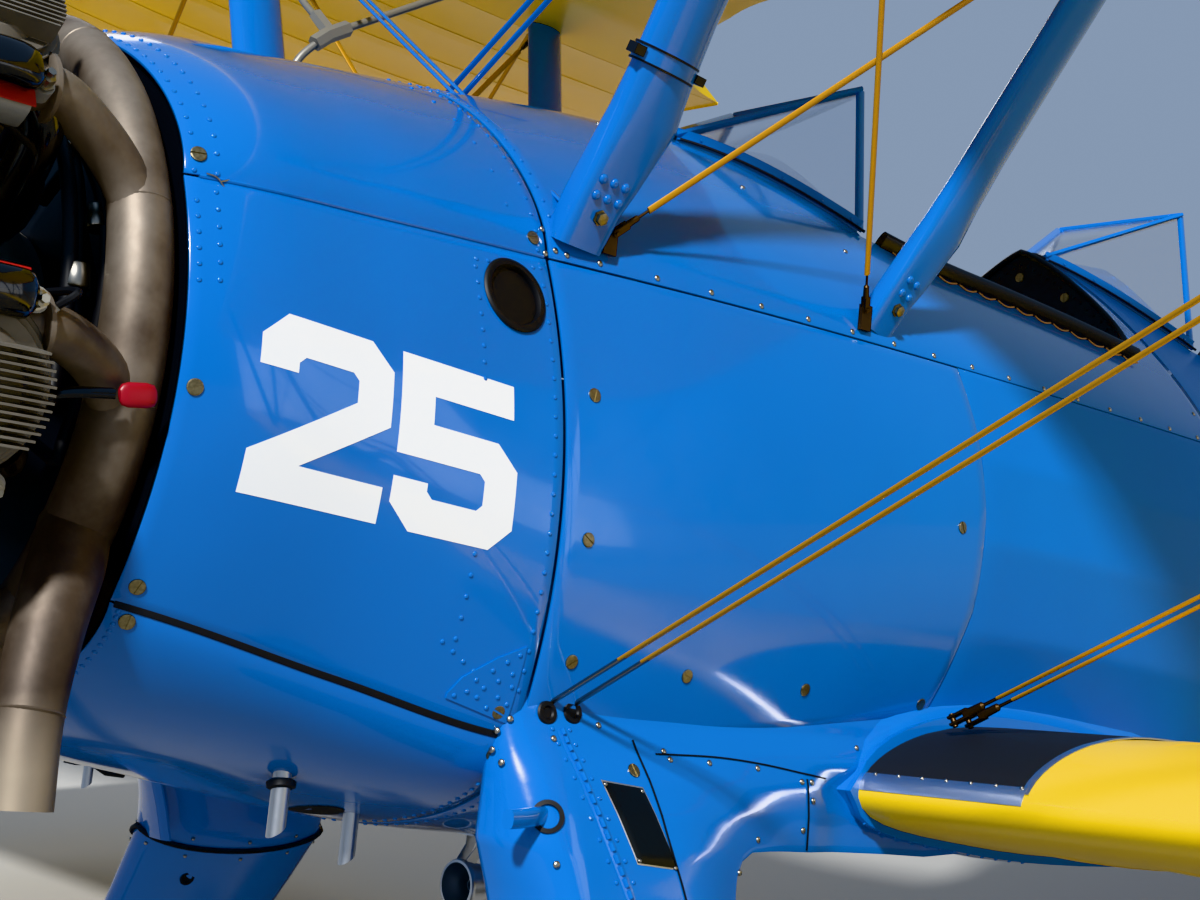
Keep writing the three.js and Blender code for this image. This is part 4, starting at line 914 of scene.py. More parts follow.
green_primer, _, _ = new_material("green_zinc_primer", "#56653c", Roughness=0.6)
webbing, _, _ = new_material("tan_canvas_webbing", "#8d7c55", Roughness=0.85)
PAN = [(1240, -180), (1250, -188), (1550, -188), (1560, -180), (1608, 290), (1600, 300), (1592, 292),
       (1546, -172), (1540, -174), (1246, -174)]
WALL = [(1240, -188), (1560, -188), (1604, 190), (1562, 186), (1505, -60), (1480, -84), (1240, -92)]
STRAP = [(1590, 1, 288), (1560, 1, 40), (1520, 0.6, -150), (1380, 0.3, -166)]  # x, share of y, z
for name, shift in (("front_seat", 0), ("rear_seat", COCKPIT_PITCH)):
    shapes = [loft_shape([[(x + shift, y, z) for x, z in outline] for y in ends])
              for outline, ends in ((PAN, (-196, 196)), (WALL, (-201, -195)), (WALL, (195, 201)))]
    for x in (1282, 1532):
        for y in (-150, 150):
            shapes.append(turned_shape([(11, -548), (11, -186)], (x + shift, y, 0), (0, 0, 1), 12))
    piece(f"{name}_shell", joined(shapes), green_primer, "primer", name)
    belts = []
    for y in (-90, 90):
        path = [(x + shift, y * share, z) for x, share, z in STRAP]
        belts.append(swept_shape(curve_through(path, 16), oval(44, 3, 10, 6), across=(0, 1, 0)))
    piece(f"{name}_harness", joined(belts), webbing, "black_metal")


# Windshields
# Three flat clear panes in a frame of blue-enamelled strip, riveted to a flange on the deck over
# a black rubber seal.
clear_plastic, _, _ = new_material("clear_acrylic_sheet", "#dfe6f2", Roughness=0.03,
                                   Transmission_Weight=1.0, IOR=1.2, Alpha=0.55, Specular_IOR_Level=0.6)
TOP = np.array([882, 150, 733.0])  # the frame's top corner on the starboard side


def pane_shape(corners, thickness=3.0):
    """A flat pane through three or four corners."""
    p = np.asarray(corners, float)
    normal = np.cross(p[1] - p[0], p[2] - p[0])
    normal *= thickness / 2 / np.linalg.norm(normal)
    return loft_shape([p - normal, p + normal])


def strip(a, b, width=15.0, depth=9.0, across=(0, 0, 1)):
    """A straight bar with softened edges from a to b."""
    return swept_shape(np.linspace(a, b, 3), oval(width, depth, 12, 5), across=across)


for name, shift, rise in (("front", 0, 0), ("rear", COCKPIT_PITCH, 44)):
    move, port = np.array([shift, 0, rise]), np.array([1, -1, 1])
    base = curve_through([(560, 24), (640, 96), (735, 180), (806, 236)], 16)
    line = on_deck(base[:, 0] + shift, base[:, 1])
    foot, side = line[0] + (0, 0, 6), line[-1] + (0, 0, 6)
    top = TOP + move
    shapes = [pane_shape([foot * port, top * port, top, foot])]
    frames, seals, dots = [strip(top * port, top, 14, 10)], [], []
    for hand in (port, np.ones(3)):
        shapes.append(pane_shape([foot * hand, top * hand, side * hand]))
        frames += [strip(foot * hand, top * hand, 24, 8, (0, hand[1] * 0.8, 0.4)),
                   strip(top * hand, side * hand, 16, 9, (1, 0, 0)),
                   swept_shape((line + (0, 2, 10)) * hand, oval(22, 3.4, 12, 5),
                               across=(0, hand[1] * 0.25, 1)),
                   swept_shape((line + (0, 6, 1.5)) * hand, oval(13, 3.0, 12, 5),
                               across=(0, hand[1], -0.3))]
        seals.append(swept_shape((line + (0, 13, -0.5)) * hand, oval(5, 5, 8), across=(0, hand[1], 0)))
        dots += [(p + (0, 4.5, 11)) * hand for p in line[2:-1:3]]
    seals.append(swept_shape(on_deck(560 + shift - 6, np.linspace(-30, 30, 9)) + (0, 0, 2), oval(14, 8, 8)))
    piece(f"{name}_windshield_panes", joined(shapes), clear_plastic, "clear_plastic", f"{name}_windshield")
    piece(f"{name}_windshield_frame", joined(frames), blue_enamel, "blue_enamel")
    piece(f"{name}_windshield_seal", joined(seals), black_rubber, "tyre_rubber")
    facing = [(0, math.copysign(0.97, p[1]), 0.25) for p in dots]
    scatter(f"{name}_windshield_rivets", dome_rivet, dots, facing, blue_enamel, "blue_enamel")


# Hinge rods, oil filler and drain tubes
# Painted steel rods run through the cowl's piano hinges, tied at the front with bright safety wire,
# with a near-black strip of painted shade in each hinge gap; the filler's black cap sits in a
# rubber-rimmed well; aluminium drain tubes come out of the belly.
for side, turn in ((-1, 1.0), (1, 0.0)):
    x = np.linspace(-528, -8, 40)
    line = skin(x, turn) + (0, side * 0.4, 0)
    rod = swept_shape(line, oval(5.5, 5.5, 8))
    knot = [line[1] + np.array((dx, side * dy, dz)) for dx, dy, dz in
            ((-8, 2, 3), (4, 5, 1), (14, 5, -7), (24, 5, -14), (32, 4, -6), (22, 5, 2), (8, 6, -3))]
    twist = swept_shape(curve_through(knot, 26), oval(2.0, 2.0, 6))
    word = "port" if side < 0 else "starboard"
    piece(f"hinge_rod_{word}", rod, blue_enamel, "blue_enamel")
    piece(f"hinge_safety_wire_{word}", twist, bright_steel, "bare_steel")
    x = np.linspace(-540, -12, 40)
    # The thin near-black strip just under each hinge rod is painted shade in the hinge gap; the wider one
    # along the side's lower edge is a black rubber strip.
    beside = swept_shape(skin(x, turn) + (0, side * 0.2, -5.5), oval(4.5, 1.6, 8, 4), across=(0, 0, 1))
    below_side = swept_shape(skin(x, 2.0 if side < 0 else 3.0) + (0, side * 0.5, 0), oval(9.5, 3.0, 8, 4),
                             across=(0, 0, 1))
    piece(f"cowl_seams_{word}", joined([beside, below_side]), black_rubber, "tyre_rubber")
FILLER = (-72, 140)
turn = on_skin(*FILLER)
spot, out = skin(FILLER[0], turn), skin_facing(FILLER[0], turn)
port_side = bpy.data.objects["cowl_side_sheet_port"]
cut_away(port_side, make_object("filler_hole", *turned_shape([(44, -30), (44, 30)], spot, out, 40),
                                blue_enamel))
rim = turned_shape([(42, -2), (51, -1), (52, 1.5), (50, 4), (46, 5), (42, 4), (40, 0), (40, -3)], spot, out,
                   48, ring=True)
well = turned_shape([(45, -3), (41, -3.5), (39, -26), (34, -29), (45, -31)], spot, out, 40)
cap = turned_shape([(30, -30), (30, -16), (27, -12), (14, -11), (13, -7), (4, -6)], spot, out, 24)
piece("oil_filler_rim", rim, black_rubber, "tyre_rubber")
piece("oil_filler_well", well, black_rubber, "black_metal")
piece("oil_filler_cap", cap, black_paint, "black_metal")
brushed_aluminium, tree, shader, where = textured("brushed_aluminium", "#c9ccd0", Metallic=1.0,
                                                  Roughness=0.32)
drawn_out = add_node(tree, "ShaderNodeMapping", Vector=where, Scale=(60, 60, 900))
scratches = add_node(tree, "ShaderNodeTexNoise", Vector=drawn_out.outputs[0], Scale=3.0, Detail=5.0)
gloss = add_node(tree, "ShaderNodeMapRange", Value=scratches.outputs["Fac"], _3=0.22, _4=0.46)
tree.links.new(gloss.outputs["Result"], shader.inputs["Roughness"])
DRAINS = [(-231, -250, -500, -556, 12), (-68, -180, -530, -600, 11), (-250, 200, -505, -552, 7)]
pipes, clamps = [], []
for x, y, high, low, radius in DRAINS:
    pipe, faces = turned_shape([(radius, low), (radius, high + 26), (radius - 1.6, high + 26),
                                (radius - 1.6, low)], (x, y, 0), (0, 0, 1), 24, ring=True)
    at_foot = np.abs(pipe[:, 2] - low) < 0.1
    pipe[at_foot, 2] += 0.7 * (pipe[at_foot, 0] - x)
    pipes.append((pipe, faces))
    clamps.append(turned_shape([(radius + 0.5, -5), (radius + 6, -3), (radius + 7, 4), (radius + 0.5, 8)],
                               (x, y, high), (0.1, 0.3 if y < 0 else -0.3, 1), 24, ring=True))
piece("drain_tubes", joined(pipes), brushed_aluminium, "bare_aluminium")
piece("drain_tube_collars", joined(clamps), black_rubber, "tyre_rubber")


# Wings
# Doped fabric over spruce ribs and spars, with pinked tape along every rib, glossy yellow; the
# roots carry a black non-slip walkway edged with bare aluminium strip.
CHORD = 1524
UPPER = {"root": 770, "half": 4902, "lead": -52, "z": 1134, "incidence": 4, "dihedral": 1.5}
LOWER = {"root": 470, "half": 4750, "lead": 640, "z": -462, "incidence": 3, "dihedral": 2}
THICKNESS = 0.13
FRONT_SPAR, REAR_SPAR = 0.12, 0.62
TIP_LENGTH = 640


def half_thickness(f):
    """A four-digit section's half thickness at a chord share, in chords."""
    return 5 * THICKNESS * (0.2969 * np.sqrt(f) - 0.126 * f - 0.3516 * f ** 2 + 0.2843 * f ** 3
                            - 0.1036 * f ** 4)


def camber(f):
    """The section's mean line at a chord share, in chords."""
    return np.where(f < 0.2, 0.5 * (0.4 * f - f * f), 0.02 / 0.64 * (0.6 + 0.4 * f - f * f))


def wing_point(wing, y, f, height, lead=0.0, scale=1.0):
    """A point at span y and chord share f, a height over the chord line in millimetres."""
    tilt = math.radians(wing["incidence"])
    y = np.asarray(y, float)
    along = lead * CHORD + np.asarray(f) * CHORD * scale
    lift = wing["z"] + (np.abs(y) - wing["root"]) * math.tan(math.radians(wing["dihedral"]))
    x = wing["lead"] + along * math.cos(tilt) + height * math.sin(tilt)
    z = lift - along * math.sin(tilt) + height * math.cos(tilt)
    return np.stack(np.broadcast_arrays(x, y, z), -1)


def skin_height(f, side):
    """How far the upper (1) or lower (-1) surface lies over the chord line."""
    return CHORD * (camber(f) + side * half_thickness(f))


def on_wing(wing, y, f, side, lift=0.0):
    """A place on the wing's upper (1) or lower (-1) surface, a height over it."""
    return wing_point(wing, y, f, float(skin_height(f, side)) + lift)


CHORD_STEPS = 0.5 - 0.5 * np.cos(np.linspace(0.06, np.pi * 0.985, 26))


def wing_ring(wing, y, lead=0.0, scale=1.0, thin=1.0, sag=0.0, grow=0.0, under=None):
    """One closed rib outline, from the leading edge over the top to the trailing edge and back."""
    f = CHORD_STEPS
    dip = sag * np.clip((f - 0.1) / 0.12, 0, 1) * np.clip((0.97 - f) / 0.15, 0, 1)
    upper = wing_point(wing, y, f, skin_height(f, 1) * thin - dip + grow, lead, scale)
    under = grow if under is None else under
    lower = wing_point(wing, y, f, skin_height(f, -1) * thin + dip - under, lead, scale)
    nose = wing_point(wing, y, -grow / CHORD, 0.0, lead, scale)
    tail = [wing_point(wing, y, 1.0, h, lead, scale) for h in (4 * thin + grow, -4 * thin - under)]
    return np.concatenate([nose[None], upper, tail, lower[::-1]])


def rib_stations(start, end, pitch=190):
    """Span places with the fabric's sag at each: level at the ribs, lowest half way between."""
    bays = max(1, round(abs(end - start) / pitch))
    places = []
    for bay in range(bays):
        for share, sag in ((0, 0), (0.12, 1.4), (0.3, 2.7), (0.5, 3.2), (0.7, 2.7), (0.88, 1.4)):
            places.append((start + (end - start) * (bay + share) / bays, sag))
    return places + [(end, 0)]


def wing_panel(wing, root, hand):
    """One wing from its root to its rounded tip, on the port (-1) or starboard (1) side."""
    rings = [wing_ring(wing, hand * y, sag=sag) for y, sag in rib_stations(root, wing["half"] - TIP_LENGTH)]
    for s in np.sin(np.linspace(0.06, 1.0, 16) * np.pi / 2 * 0.995):
        fall = 1 - math.sqrt(1 - s * s)
        scale = 1 - 0.86 * fall
        y = hand * (wing["half"] - TIP_LENGTH * (1 - s))
        rings.append(wing_ring(wing, y, 0.34 * fall, scale, 0.2 + 0.8 * scale))
    return loft_shape(rings)


YELLOW = "#f8d010"
yellow_fabric = doped_fabric("yellow_doped_fabric", YELLOW, "#eec30c")
centre_rings = [wing_ring(UPPER, y, sag=sag) for y, sag in rib_stations(-769, 769, 220)]
centre = make_object("upper_centre_section", *loft_shape(centre_rings), yellow_fabric)
CUTOUT_EDGE = [(1480, -774), (1320, -715), (1150, -560), (1030, -340), (985, -150)]
CUTOUT = curve_through(CUTOUT_EDGE + [(x, -y) for x, y in CUTOUT_EDGE[::-1]], 55).tolist()
CUTOUT = [(1640, -774)] + CUTOUT + [(1640, 774)]
cut_away(centre, plan_prism("centre_cutout", CUTOUT, 900, 1300))
fit(centre, "yellow_fabric", "upper_wing_centre")
for hand, word in ((-1, "left"), (1, "right")):
    piece(f"upper_wing_panel_{word}", wing_panel(UPPER, 771, hand), yellow_fabric, "yellow_fabric",
          f"upper_wing_{word}")

AILERON = {"inner": 2240, "outer": 4080, "hinge": 0.765}
NOSE_RADIUS = float(0.9 * half_thickness(AILERON["hinge"]) * CHORD)
HINGE_HEIGHT = float(camber(np.array(AILERON["hinge"])) * CHORD)
COVE = AILERON["hinge"] - (NOSE_RADIUS + 9) / CHORD
WELL = [(COVE, -150), (COVE, 150), (1.1, 150), (1.1, -150)]  # chord share and height of the cut
for hand, word in ((-1, "left"), (1, "right")):
    lower = make_object(f"lower_wing_panel_{word}", *wing_panel(LOWER, 440, hand), yellow_fabric)
    well = [np.array([wing_point(LOWER, hand * y, f, h) for f, h in WELL])
            for y in (AILERON["inner"], AILERON["outer"])]
    cut_away(lower, make_object("aileron_well", *loft_shape(well), yellow_fabric))
    fit(lower, "yellow_fabric", f"lower_wing_{word}")
    rings = []
    for y, sag in rib_stations(AILERON["inner"] + 8, AILERON["outer"] - 8):
        turn = np.pi / 2 + np.pi * np.arange(13) / 12
        nose = wing_point(LOWER, hand * y, AILERON["hinge"] + np.cos(turn) * NOSE_RADIUS / CHORD,
                          HINGE_HEIGHT + np.sin(turn) * NOSE_RADIUS)
        f = np.array([0.8, 0.84, 0.88, 0.92, 0.96, 0.985])
        dip = sag * 0.8 * np.array([0.4, 1, 1, 0.8, 0.4, 0.1])
        low = wing_point(LOWER, hand * y, f, skin_height(f, -1) + dip)
        high = wing_point(LOWER, hand * y, f, skin_height(f, 1) - dip)
        tail = [wing_point(LOWER, hand * y, 1.0, h) for h in (-4, 4)]
        rings.append(np.concatenate([nose, low, tail, high[::-1]]))
    piece(f"aileron_panel_{word}", loft_shape(rings), yellow_fabric, "yellow_fabric", f"aileron_{word}",
          body=f"aileron_{word}")


def wing_strip(wing, ys, fs, side, lift, thickness):
    """A thin closed plate on the wing's skin over a grid of span places and chord shares."""
    y, f = np.meshgrid(ys, fs, indexing="ij")
    base = wing_point(wing, y, f, skin_height(f, side))
    ahead = wing_point(wing, y, np.clip(f + 0.004, 0, 1), skin_height(np.clip(f + 0.004, 0, 1), side)) - base
    facing = np.cross(ahead, (0, 1.0, 0)) * side
    facing /= np.linalg.norm(facing, axis=-1, keepdims=True)
    facing *= np.sign(facing[..., 2:3]) * side
    return sheet_shell(base + facing * (lift + thickness), facing, thickness)


TAPE_FROM = CHORD_STEPS[CHORD_STEPS > 0.012]
for name, wing, root, shares in (("upper_rib_tapes", UPPER, 771, TAPE_FROM),
                                 ("lower_rib_tapes", LOWER, 440, TAPE_FROM[TAPE_FROM < COVE])):
    end = wing["half"] - TIP_LENGTH
    bays = round((end - root) / 190)
    tapes = []
    for y in [root + (end - root) * rib / bays for rib in range(1, bays)]:
        tapes += [wing_strip(wing, np.array([-y - 19, -y + 19]), shares, side, 0.1, 0.7) for side in (1, -1)]
    piece(name, both_sides(tapes), yellow_fabric, "yellow_fabric")
black_grit, tree, shader, where = textured("black_non_slip_walkway", "#1b1c1e", Roughness=0.72)
raised_grain(tree, shader, where, 0.6, 0.0006, Scale=1400.0)
WALK = {"inner": 456, "outer": 735, "front": 0.004, "back": 0.6}
over = np.concatenate([np.linspace(WALK["front"], 0.1, 10), np.linspace(0.14, WALK["back"], 14)])
walk = wing_strip(LOWER, np.linspace(-WALK["outer"], -WALK["inner"], 10), over, 1, 0.2, 1.3)
piece("walkways", both_sides([walk]), black_grit, "black_metal")
front_span, side_span = (np.linspace(-WALK["outer"] - 6, -WALK["inner"], 10),
                         np.linspace(-WALK["outer"] - 12, -WALK["outer"] + 1, 3))
edges = [wing_strip(LOWER, front_span, np.linspace(0.0001, 0.0085, 6), 1, 0.3, 2.0),
         wing_strip(LOWER, side_span, over, 1, 0.3, 2.0)]
piece("walkway_edging", both_sides(edges), brushed_aluminium, "bare_aluminium")
places = [on_wing(LOWER, -y, 0.007, 1, 2.4) for y in np.arange(480, WALK["outer"], 42)]
small_screw = screw_head("small_round_screw", 3.2)
places += [p * (1, -1, 1) for p in places]
scatter("walkway_screws", small_screw, places, [(-0.75, 0, 0.66)] * len(places), bright_steel, "bare_steel",
        seed=8)


# Struts and bracing wires
# Streamlined steel tube struts with riveted feet, in blue enamel; gold-painted streamlined wires
# with dark bronze fork ends pinned beside the strut feet.
gold_paint, _, _ = new_material("gold_painted_wire", "#b98a2c", Metallic=0.35, Roughness=0.36)
bronze, _, _ = new_material("dark_bronze_fork", "#4b3a26", Metallic=0.85, Roughness=0.42)


def strut_shape(a, b, chord, thickness, foot=0.0, across=(1, 0, 0), pinch=0.0):
    """A streamlined strut from a to b, squarer over its first foot millimetres."""
    a, b = np.asarray(a, float), np.asarray(b, float)
    length = np.linalg.norm(b - a)
    rings_at = np.unique(np.concatenate([[0, 0.5, 1], np.linspace(0, min(1, (foot + 160) / length), 9),
                                         np.array([0, 60, 120, 190, 260, 340]) / length * (pinch > 0)]))
    axis = (b - a) / length
    u = np.asarray(across, float) - axis * (axis @ np.asarray(across, float))
    u /= np.linalg.norm(u)
    v = np.cross(axis, u)
    turn = np.arange(28) * 2 * np.pi / 28
    rings = []
    for share in rings_at:
        round_off = np.clip((share * length - foot) / 150, 0, 1) if foot else 1.0
        power = 4.5 - 2.4 * round_off
        c, s = np.cos(turn), np.sin(turn)
        c, s = np.sign(c) * np.abs(c) ** (2 / power), np.sign(s) * np.abs(s) ** (2 / power)
        taper = 1 - 0.34 * round_off * np.clip(c, 0, 1) ** 1.5
        grown = 1 - pinch * np.interp(share * length, [0, 60, 190, 340], [1, 0.85, -0.3, 0])
        middle = a + (b - a) * share - u * 0.75 * (1 - grown) * chord
        rings.append(middle + (c * grown * chord / 2)[:, None] * u + (s * taper * thickness / 2)[:, None] * v)
    return loft_shape(rings)


def fork_shape(pin, toward, scale=1.0):
    """A wire's fork: threaded shank, barrel and two cheeks over a pin, pointing along a wire."""
    pin, toward = np.asarray(pin, float), np.asarray(toward, float)
    along = unit(toward - pin)
    across = unit(np.cross(along, (1, 0, 0)))
    frame_turn = np.stack([along, across, np.cross(across, along)], 1)
    stem = [pin + along * d * scale for d in (24, 34, 62, 66, 100)]
    shapes = [swept_shape(stem, oval(2, 2, 12), across=across, scale=np.array([8, 8, 7, 3.2, 3.0]) * scale)]
    for hand in (-1, 1):
        cheek = pin + across * hand * 6.2 * scale
        shapes.append(box_shape(cheek + along * 14 * scale, np.array([20, 2.0, 8]) * scale, frame_turn))
        shapes.append(turned_shape(np.array([(8, -2), (8, 2)]) * scale, cheek, across, 16))
    shapes.append(turned_shape(np.array([(5, -12), (5, 11), (3, 12)]) * scale, pin, across, 14))
    return joined(shapes)


CABANE = [  # name, foot, chord, thickness, the spar it holds and its rivets
    ("front", (72, -378, 262), 108, 48, FRONT_SPAR, 6), ("rear", (691, -398, 262), 88, 38, REAR_SPAR, 4)]
strut_rivets, strut_facing, bolts, forks, wires = [], [], [], [], []
wire_section = oval(11, 5.5, 12)
feet, heads = {}, {}


def strut_ways(base, top):
    """A strut's axis, the way out from its side, and the way fore and aft along its section."""
    axis = unit(top - base)
    out = np.cross(axis, (1, 0, 0))
    out *= -np.sign(out[1]) / np.linalg.norm(out)
    return axis, out, np.cross(out, axis) * np.sign(np.cross(out, axis)[0])


for name, base, chord, thickness, spar, rivets in CABANE:
    base = np.array(base, float)
    top = on_wing(UPPER, -742, spar, -1, 14)
    feet[name], heads[name] = base, top
    axis, out, lengthwise = strut_ways(base, top)
    shape = strut_shape(base - axis * 26, top, chord, thickness, foot=95, pinch=0.24)
    pair(f"cabane_{name}_{{}}_tube", shape, blue_enamel, "blue_enamel", f"cabane_strut_{name}_{{}}")
    face = base + out * (thickness / 2 + 0.2)
    for row in range(rivets // 2):
        for column in (0, 1):
            along = (row - (rivets // 2 - 1) / 2) * 21 - 0.14 * chord
            strut_rivets.append(face + axis * (48 + 23 * column) + lengthwise * along)
            strut_facing.append(out)
    bolts.append((face + axis * 22 - lengthwise * 0.14 * chord, out))
strut_rivet = turned_head("strut_rivet", [(6.8, -0.6), (6.8, 0.3), (5.6, 2.3), (2.8, 3.5)], 12)
places, ways = ([np.array(found) * (1, hand, 1) for hand in (1, -1)]
                for found in (strut_rivets, strut_facing))
scatter("strut_foot_rivets", strut_rivet, np.concatenate(places), np.concatenate(ways), blue_enamel,
        "blue_enamel")
nuts = [turned_shape([(11, -1), (11, 2), (9, 2), (9, 9), (6, 10)], place, out, 6) for place, out in bolts]
piece("strut_foot_bolts", both_sides(nuts), cadmium, "bare_steel")


def taut_wire(a, b, trim):
    """A streamlined wire between two pins, short of each by the fork's length."""
    a, b = np.asarray(a, float), np.asarray(b, float)
    along = unit(b - a)
    return swept_shape(np.linspace(a + along * trim, b - along * trim, 3), wire_section, across=(1, 0, 0.01))


foot_pin = {"front": feet["front"] + (34, -14, 4), "rear": feet["rear"] + (-70, -16, 3)}
head_pin = {"front": heads["front"] + (40, -10, -46), "rear": heads["rear"] + (-30, -10, -46)}
for low, high in (("front", "rear"), ("rear", "front")):
    wires.append(taut_wire(foot_pin[low], head_pin[high], 58))
    forks += [fork_shape(foot_pin[low], head_pin[high], 0.62),
              fork_shape(head_pin[high], foot_pin[low], 0.62)]
    forks.append(box_shape(foot_pin[low] + (-6 if low == "front" else 6, 4, -12), (12, 3.5, 20)))
piece("cabane_bracing_wires", both_sides(wires), gold_paint, "gold_wire")
piece("cabane_wire_forks", both_sides(forks), bronze, "gold_wire")
cross = []
for shift in (-13, 13):
    a, b = feet["front"] * (1, -1, 1) + (30 + shift, -8, 20), heads["front"] + (34 + shift, 20, -20)
    there, back = (swept_shape(np.linspace(a + (x, 0, 0), b + (x, 0, 0), 3), wire_section, across=(1, 0, 0))
                   for x in (0, -46))
    cross += [there, mirrored_shape(back)]
piece("centre_section_cross_wires", joined(cross), blue_enamel, "blue_enamel")
clamp = feet["front"] + (heads["front"] - feet["front"]) * 0.27
axis, out, lengthwise = strut_ways(feet["front"], heads["front"])
band = strut_shape(clamp - axis * 13, clamp + axis * 13, 114, 54)
piece("strut_clamp_band", band, blue_enamel, "blue_enamel")
turn = np.stack([lengthwise, out, axis], 1)
bracket = [box_shape(clamp - lengthwise * 62 + out * 8, (9, 9, 7), turn),
           box_shape(clamp + lengthwise * 60 + out * 4, (9, 8, 6), turn)]
bracket += [strut_shape(clamp + axis * (rise - 1.5), clamp + axis * (rise + 1.5), 117, 57)
            for rise in (-11, 11)]
piece("strut_clamp_bracket", joined(bracket), black_paint, "black_metal")
INTERPLANE = -3230


def bay_line(low_spar, high_spar, gap):
    """The ends of a line between the wings at the outer struts, a gap clear of each surface."""
    return (on_wing(LOWER, INTERPLANE, low_spar, 1, gap), on_wing(UPPER, INTERPLANE, high_spar, -1, -gap))


shapes = [strut_shape(*bay_line(spar, spar, -10), 82, 34) for spar in (FRONT_SPAR, REAR_SPAR)]
foot = wing_point(LOWER, INTERPLANE, FRONT_SPAR + 0.015, float(skin_height(FRONT_SPAR, 1)) + 50)
head = wing_point(UPPER, INTERPLANE, REAR_SPAR - 0.015, float(skin_height(REAR_SPAR, -1)) - 50)
shapes.append(strut_shape(foot, head, 60, 26))
pair("interplane_{}_tubes", joined(shapes), blue_enamel, "blue_enamel", "interplane_strut_{}")
flying = {"front": ((60, -430, -372), FRONT_SPAR), "rear": ((800, -520, -345), REAR_SPAR)}
silvered, _, _ = new_material("stainless_wire_shank", "#8f8c84", Metallic=1.0, Roughness=0.3)
for name, (start, spar) in flying.items():
    end = on_wing(UPPER, INTERPLANE + 60, spar, -1, -8)
    runs, shanks, ends = [], [], []
    for shift in (-20, 20):
        a, b = np.array(start, float) + (shift, 0, 0), end + (shift, 0, 0)
        along = unit(b - a)
        clear = 140 if name == "front" else 84
        if name == "front":
            a = a + (0, 8, 0)
            shanks.append(swept_shape(np.linspace(a - along * 30, a + along * 150, 3), oval(7, 7, 10)))
        else:
            ends.append(fork_shape(a, b, 0.9))
        run = np.linspace(a + along * clear, b - along * 92, 4)
        runs.append(swept_shape(run, wire_section, across=(1, 0, 0)))
        ends.append(fork_shape(b, a, 0.9))
    pair(f"flying_{name}_{{}}_wires", joined(runs), gold_paint, "gold_wire", f"flying_wires_{name}_{{}}")
    pair(f"flying_{name}_{{}}_forks", joined(ends), bronze, "gold_wire")
    if shanks:
        pair(f"flying_{name}_{{}}_shanks", joined(shanks), silvered, "gold_wire")
landing = []
for spar in (FRONT_SPAR, REAR_SPAR):
    high, low = on_wing(UPPER, -790, spar, -1, -2), on_wing(LOWER, INTERPLANE + 50, spar, 1, 2)
    landing.append(swept_shape(np.linspace(high, low, 3), wire_section, across=(1, 0, 0)))
for spars in ((FRONT_SPAR, REAR_SPAR), (REAR_SPAR, FRONT_SPAR)):
    landing.append(swept_shape(np.linspace(*bay_line(*spars, 20), 3), oval(8, 4, 10), across=(1, 0, 0)))
piece("landing_and_bay_wires", both_sides(landing), gold_paint, "gold_wire")
PIPE_RUNS = [  # places along each run, how many steps, and how thick the pipe is
    ([(24, 330, 430), (6, 318, 540), (16, 306, 606), (66, 300, 664)], 24, 13),
    ([(66, 300, 664), (270, 300, 792), (560, 300, 976), (700, 300, 1070)], 24, 13),
    ([(72, 300, 668), (84, 430, 760), (120, 620, 930), (150, 700, 1050)], 20, 12)]
pipe = [swept_shape(curve_through(run, steps), oval(wide, wide, 12)) for run, steps, wide in PIPE_RUNS]
pipe += [swept_shape([(40, 301, 640), (64, 300, 662), (100, 300, 685)], oval(27, 27, 6)),
         swept_shape([(72, 306, 668), (76, 350, 702), (77, 362, 712)], oval(25, 25, 6))]
grey_hose, _, _ = new_material("grey_painted_fuel_pipe", "#8b8880", Metallic=0.5, Roughness=0.45)
piece("fuel_pipe_and_tee", joined(pipe), grey_hose, "bare_steel")


# Landing gear fairings and wing roots
# Formed aluminium sheet that fills the corner between the fuselage, the wing's root and each gear
# leg: panels with raised seams in near-black painted gap shade, piano hinge, round-head screws, a
# blank data plate and a fillet band round the wing's nose.
OUTER_FACE = np.array([  # height, half width of the face beside the leg
    (-330, 424), (-352, 427), (-385, 434), (-420, 450), (-460, 474), (-500, 493), (-548, 511), (-600, 526),
    (-655, 545)], float)
ROOT_FACE = np.array([  # height, half width of the face at the wing's root
    (-330, 424), (-352, 426), (-385, 433), (-420, 447), (-460, 457), (-500, 461), (-590, 462)], float)
ARCH = np.array([  # x and height of the fairing's lower edge
    (-60, -655), (338, -655), (344, -609), (351, -582), (368, -560), (397, -549), (454, -549), (740, -556),
    (840, -560), (960, -553), (1040, -540)], float)


def fairing_face(x, z):
    """The fairing's outer face at each x and height, on the port side."""
    beside_leg = np.interp(-z, -OUTER_FACE[:, 0], OUTER_FACE[:, 1])
    at_root = np.interp(-z, -ROOT_FACE[:, 0], ROOT_FACE[:, 1])
    t = np.clip((x - 215) / 300, 0, 1)
    t = t * t * (3 - 2 * t)
    y = beside_leg + (at_root - beside_leg) * t
    y = y - 19 * np.clip((x - 540) / 70, 0, 1) * np.clip((-z - 430) / 30, 0, 1)
    front = np.clip((40 - x) / 78, 0, 1)
    return -(y - (y - 396) * (1 - np.sqrt(1 - front ** 2)) * 0.92)


def fairing_facing(x, z):
    """Outward unit normals of the fairing's face."""
    dx = (fairing_face(x + 3, z) - fairing_face(x - 3, z)) / 6
    dz = (fairing_face(x, z + 3) - fairing_face(x, z - 3)) / 6
    n = np.stack([dx, -np.ones_like(dx), dz], -1)
    return n / np.linalg.norm(n, axis=-1, keepdims=True)


def on_fairing(x, z, lift=0.0):
    """Places on the fairing's face, lifted off it."""
    x, z = np.broadcast_arrays(np.asarray(x, float), np.asarray(z, float))
    return np.stack([x, fairing_face(x, z), z], -1) + fairing_facing(x, z) * lift


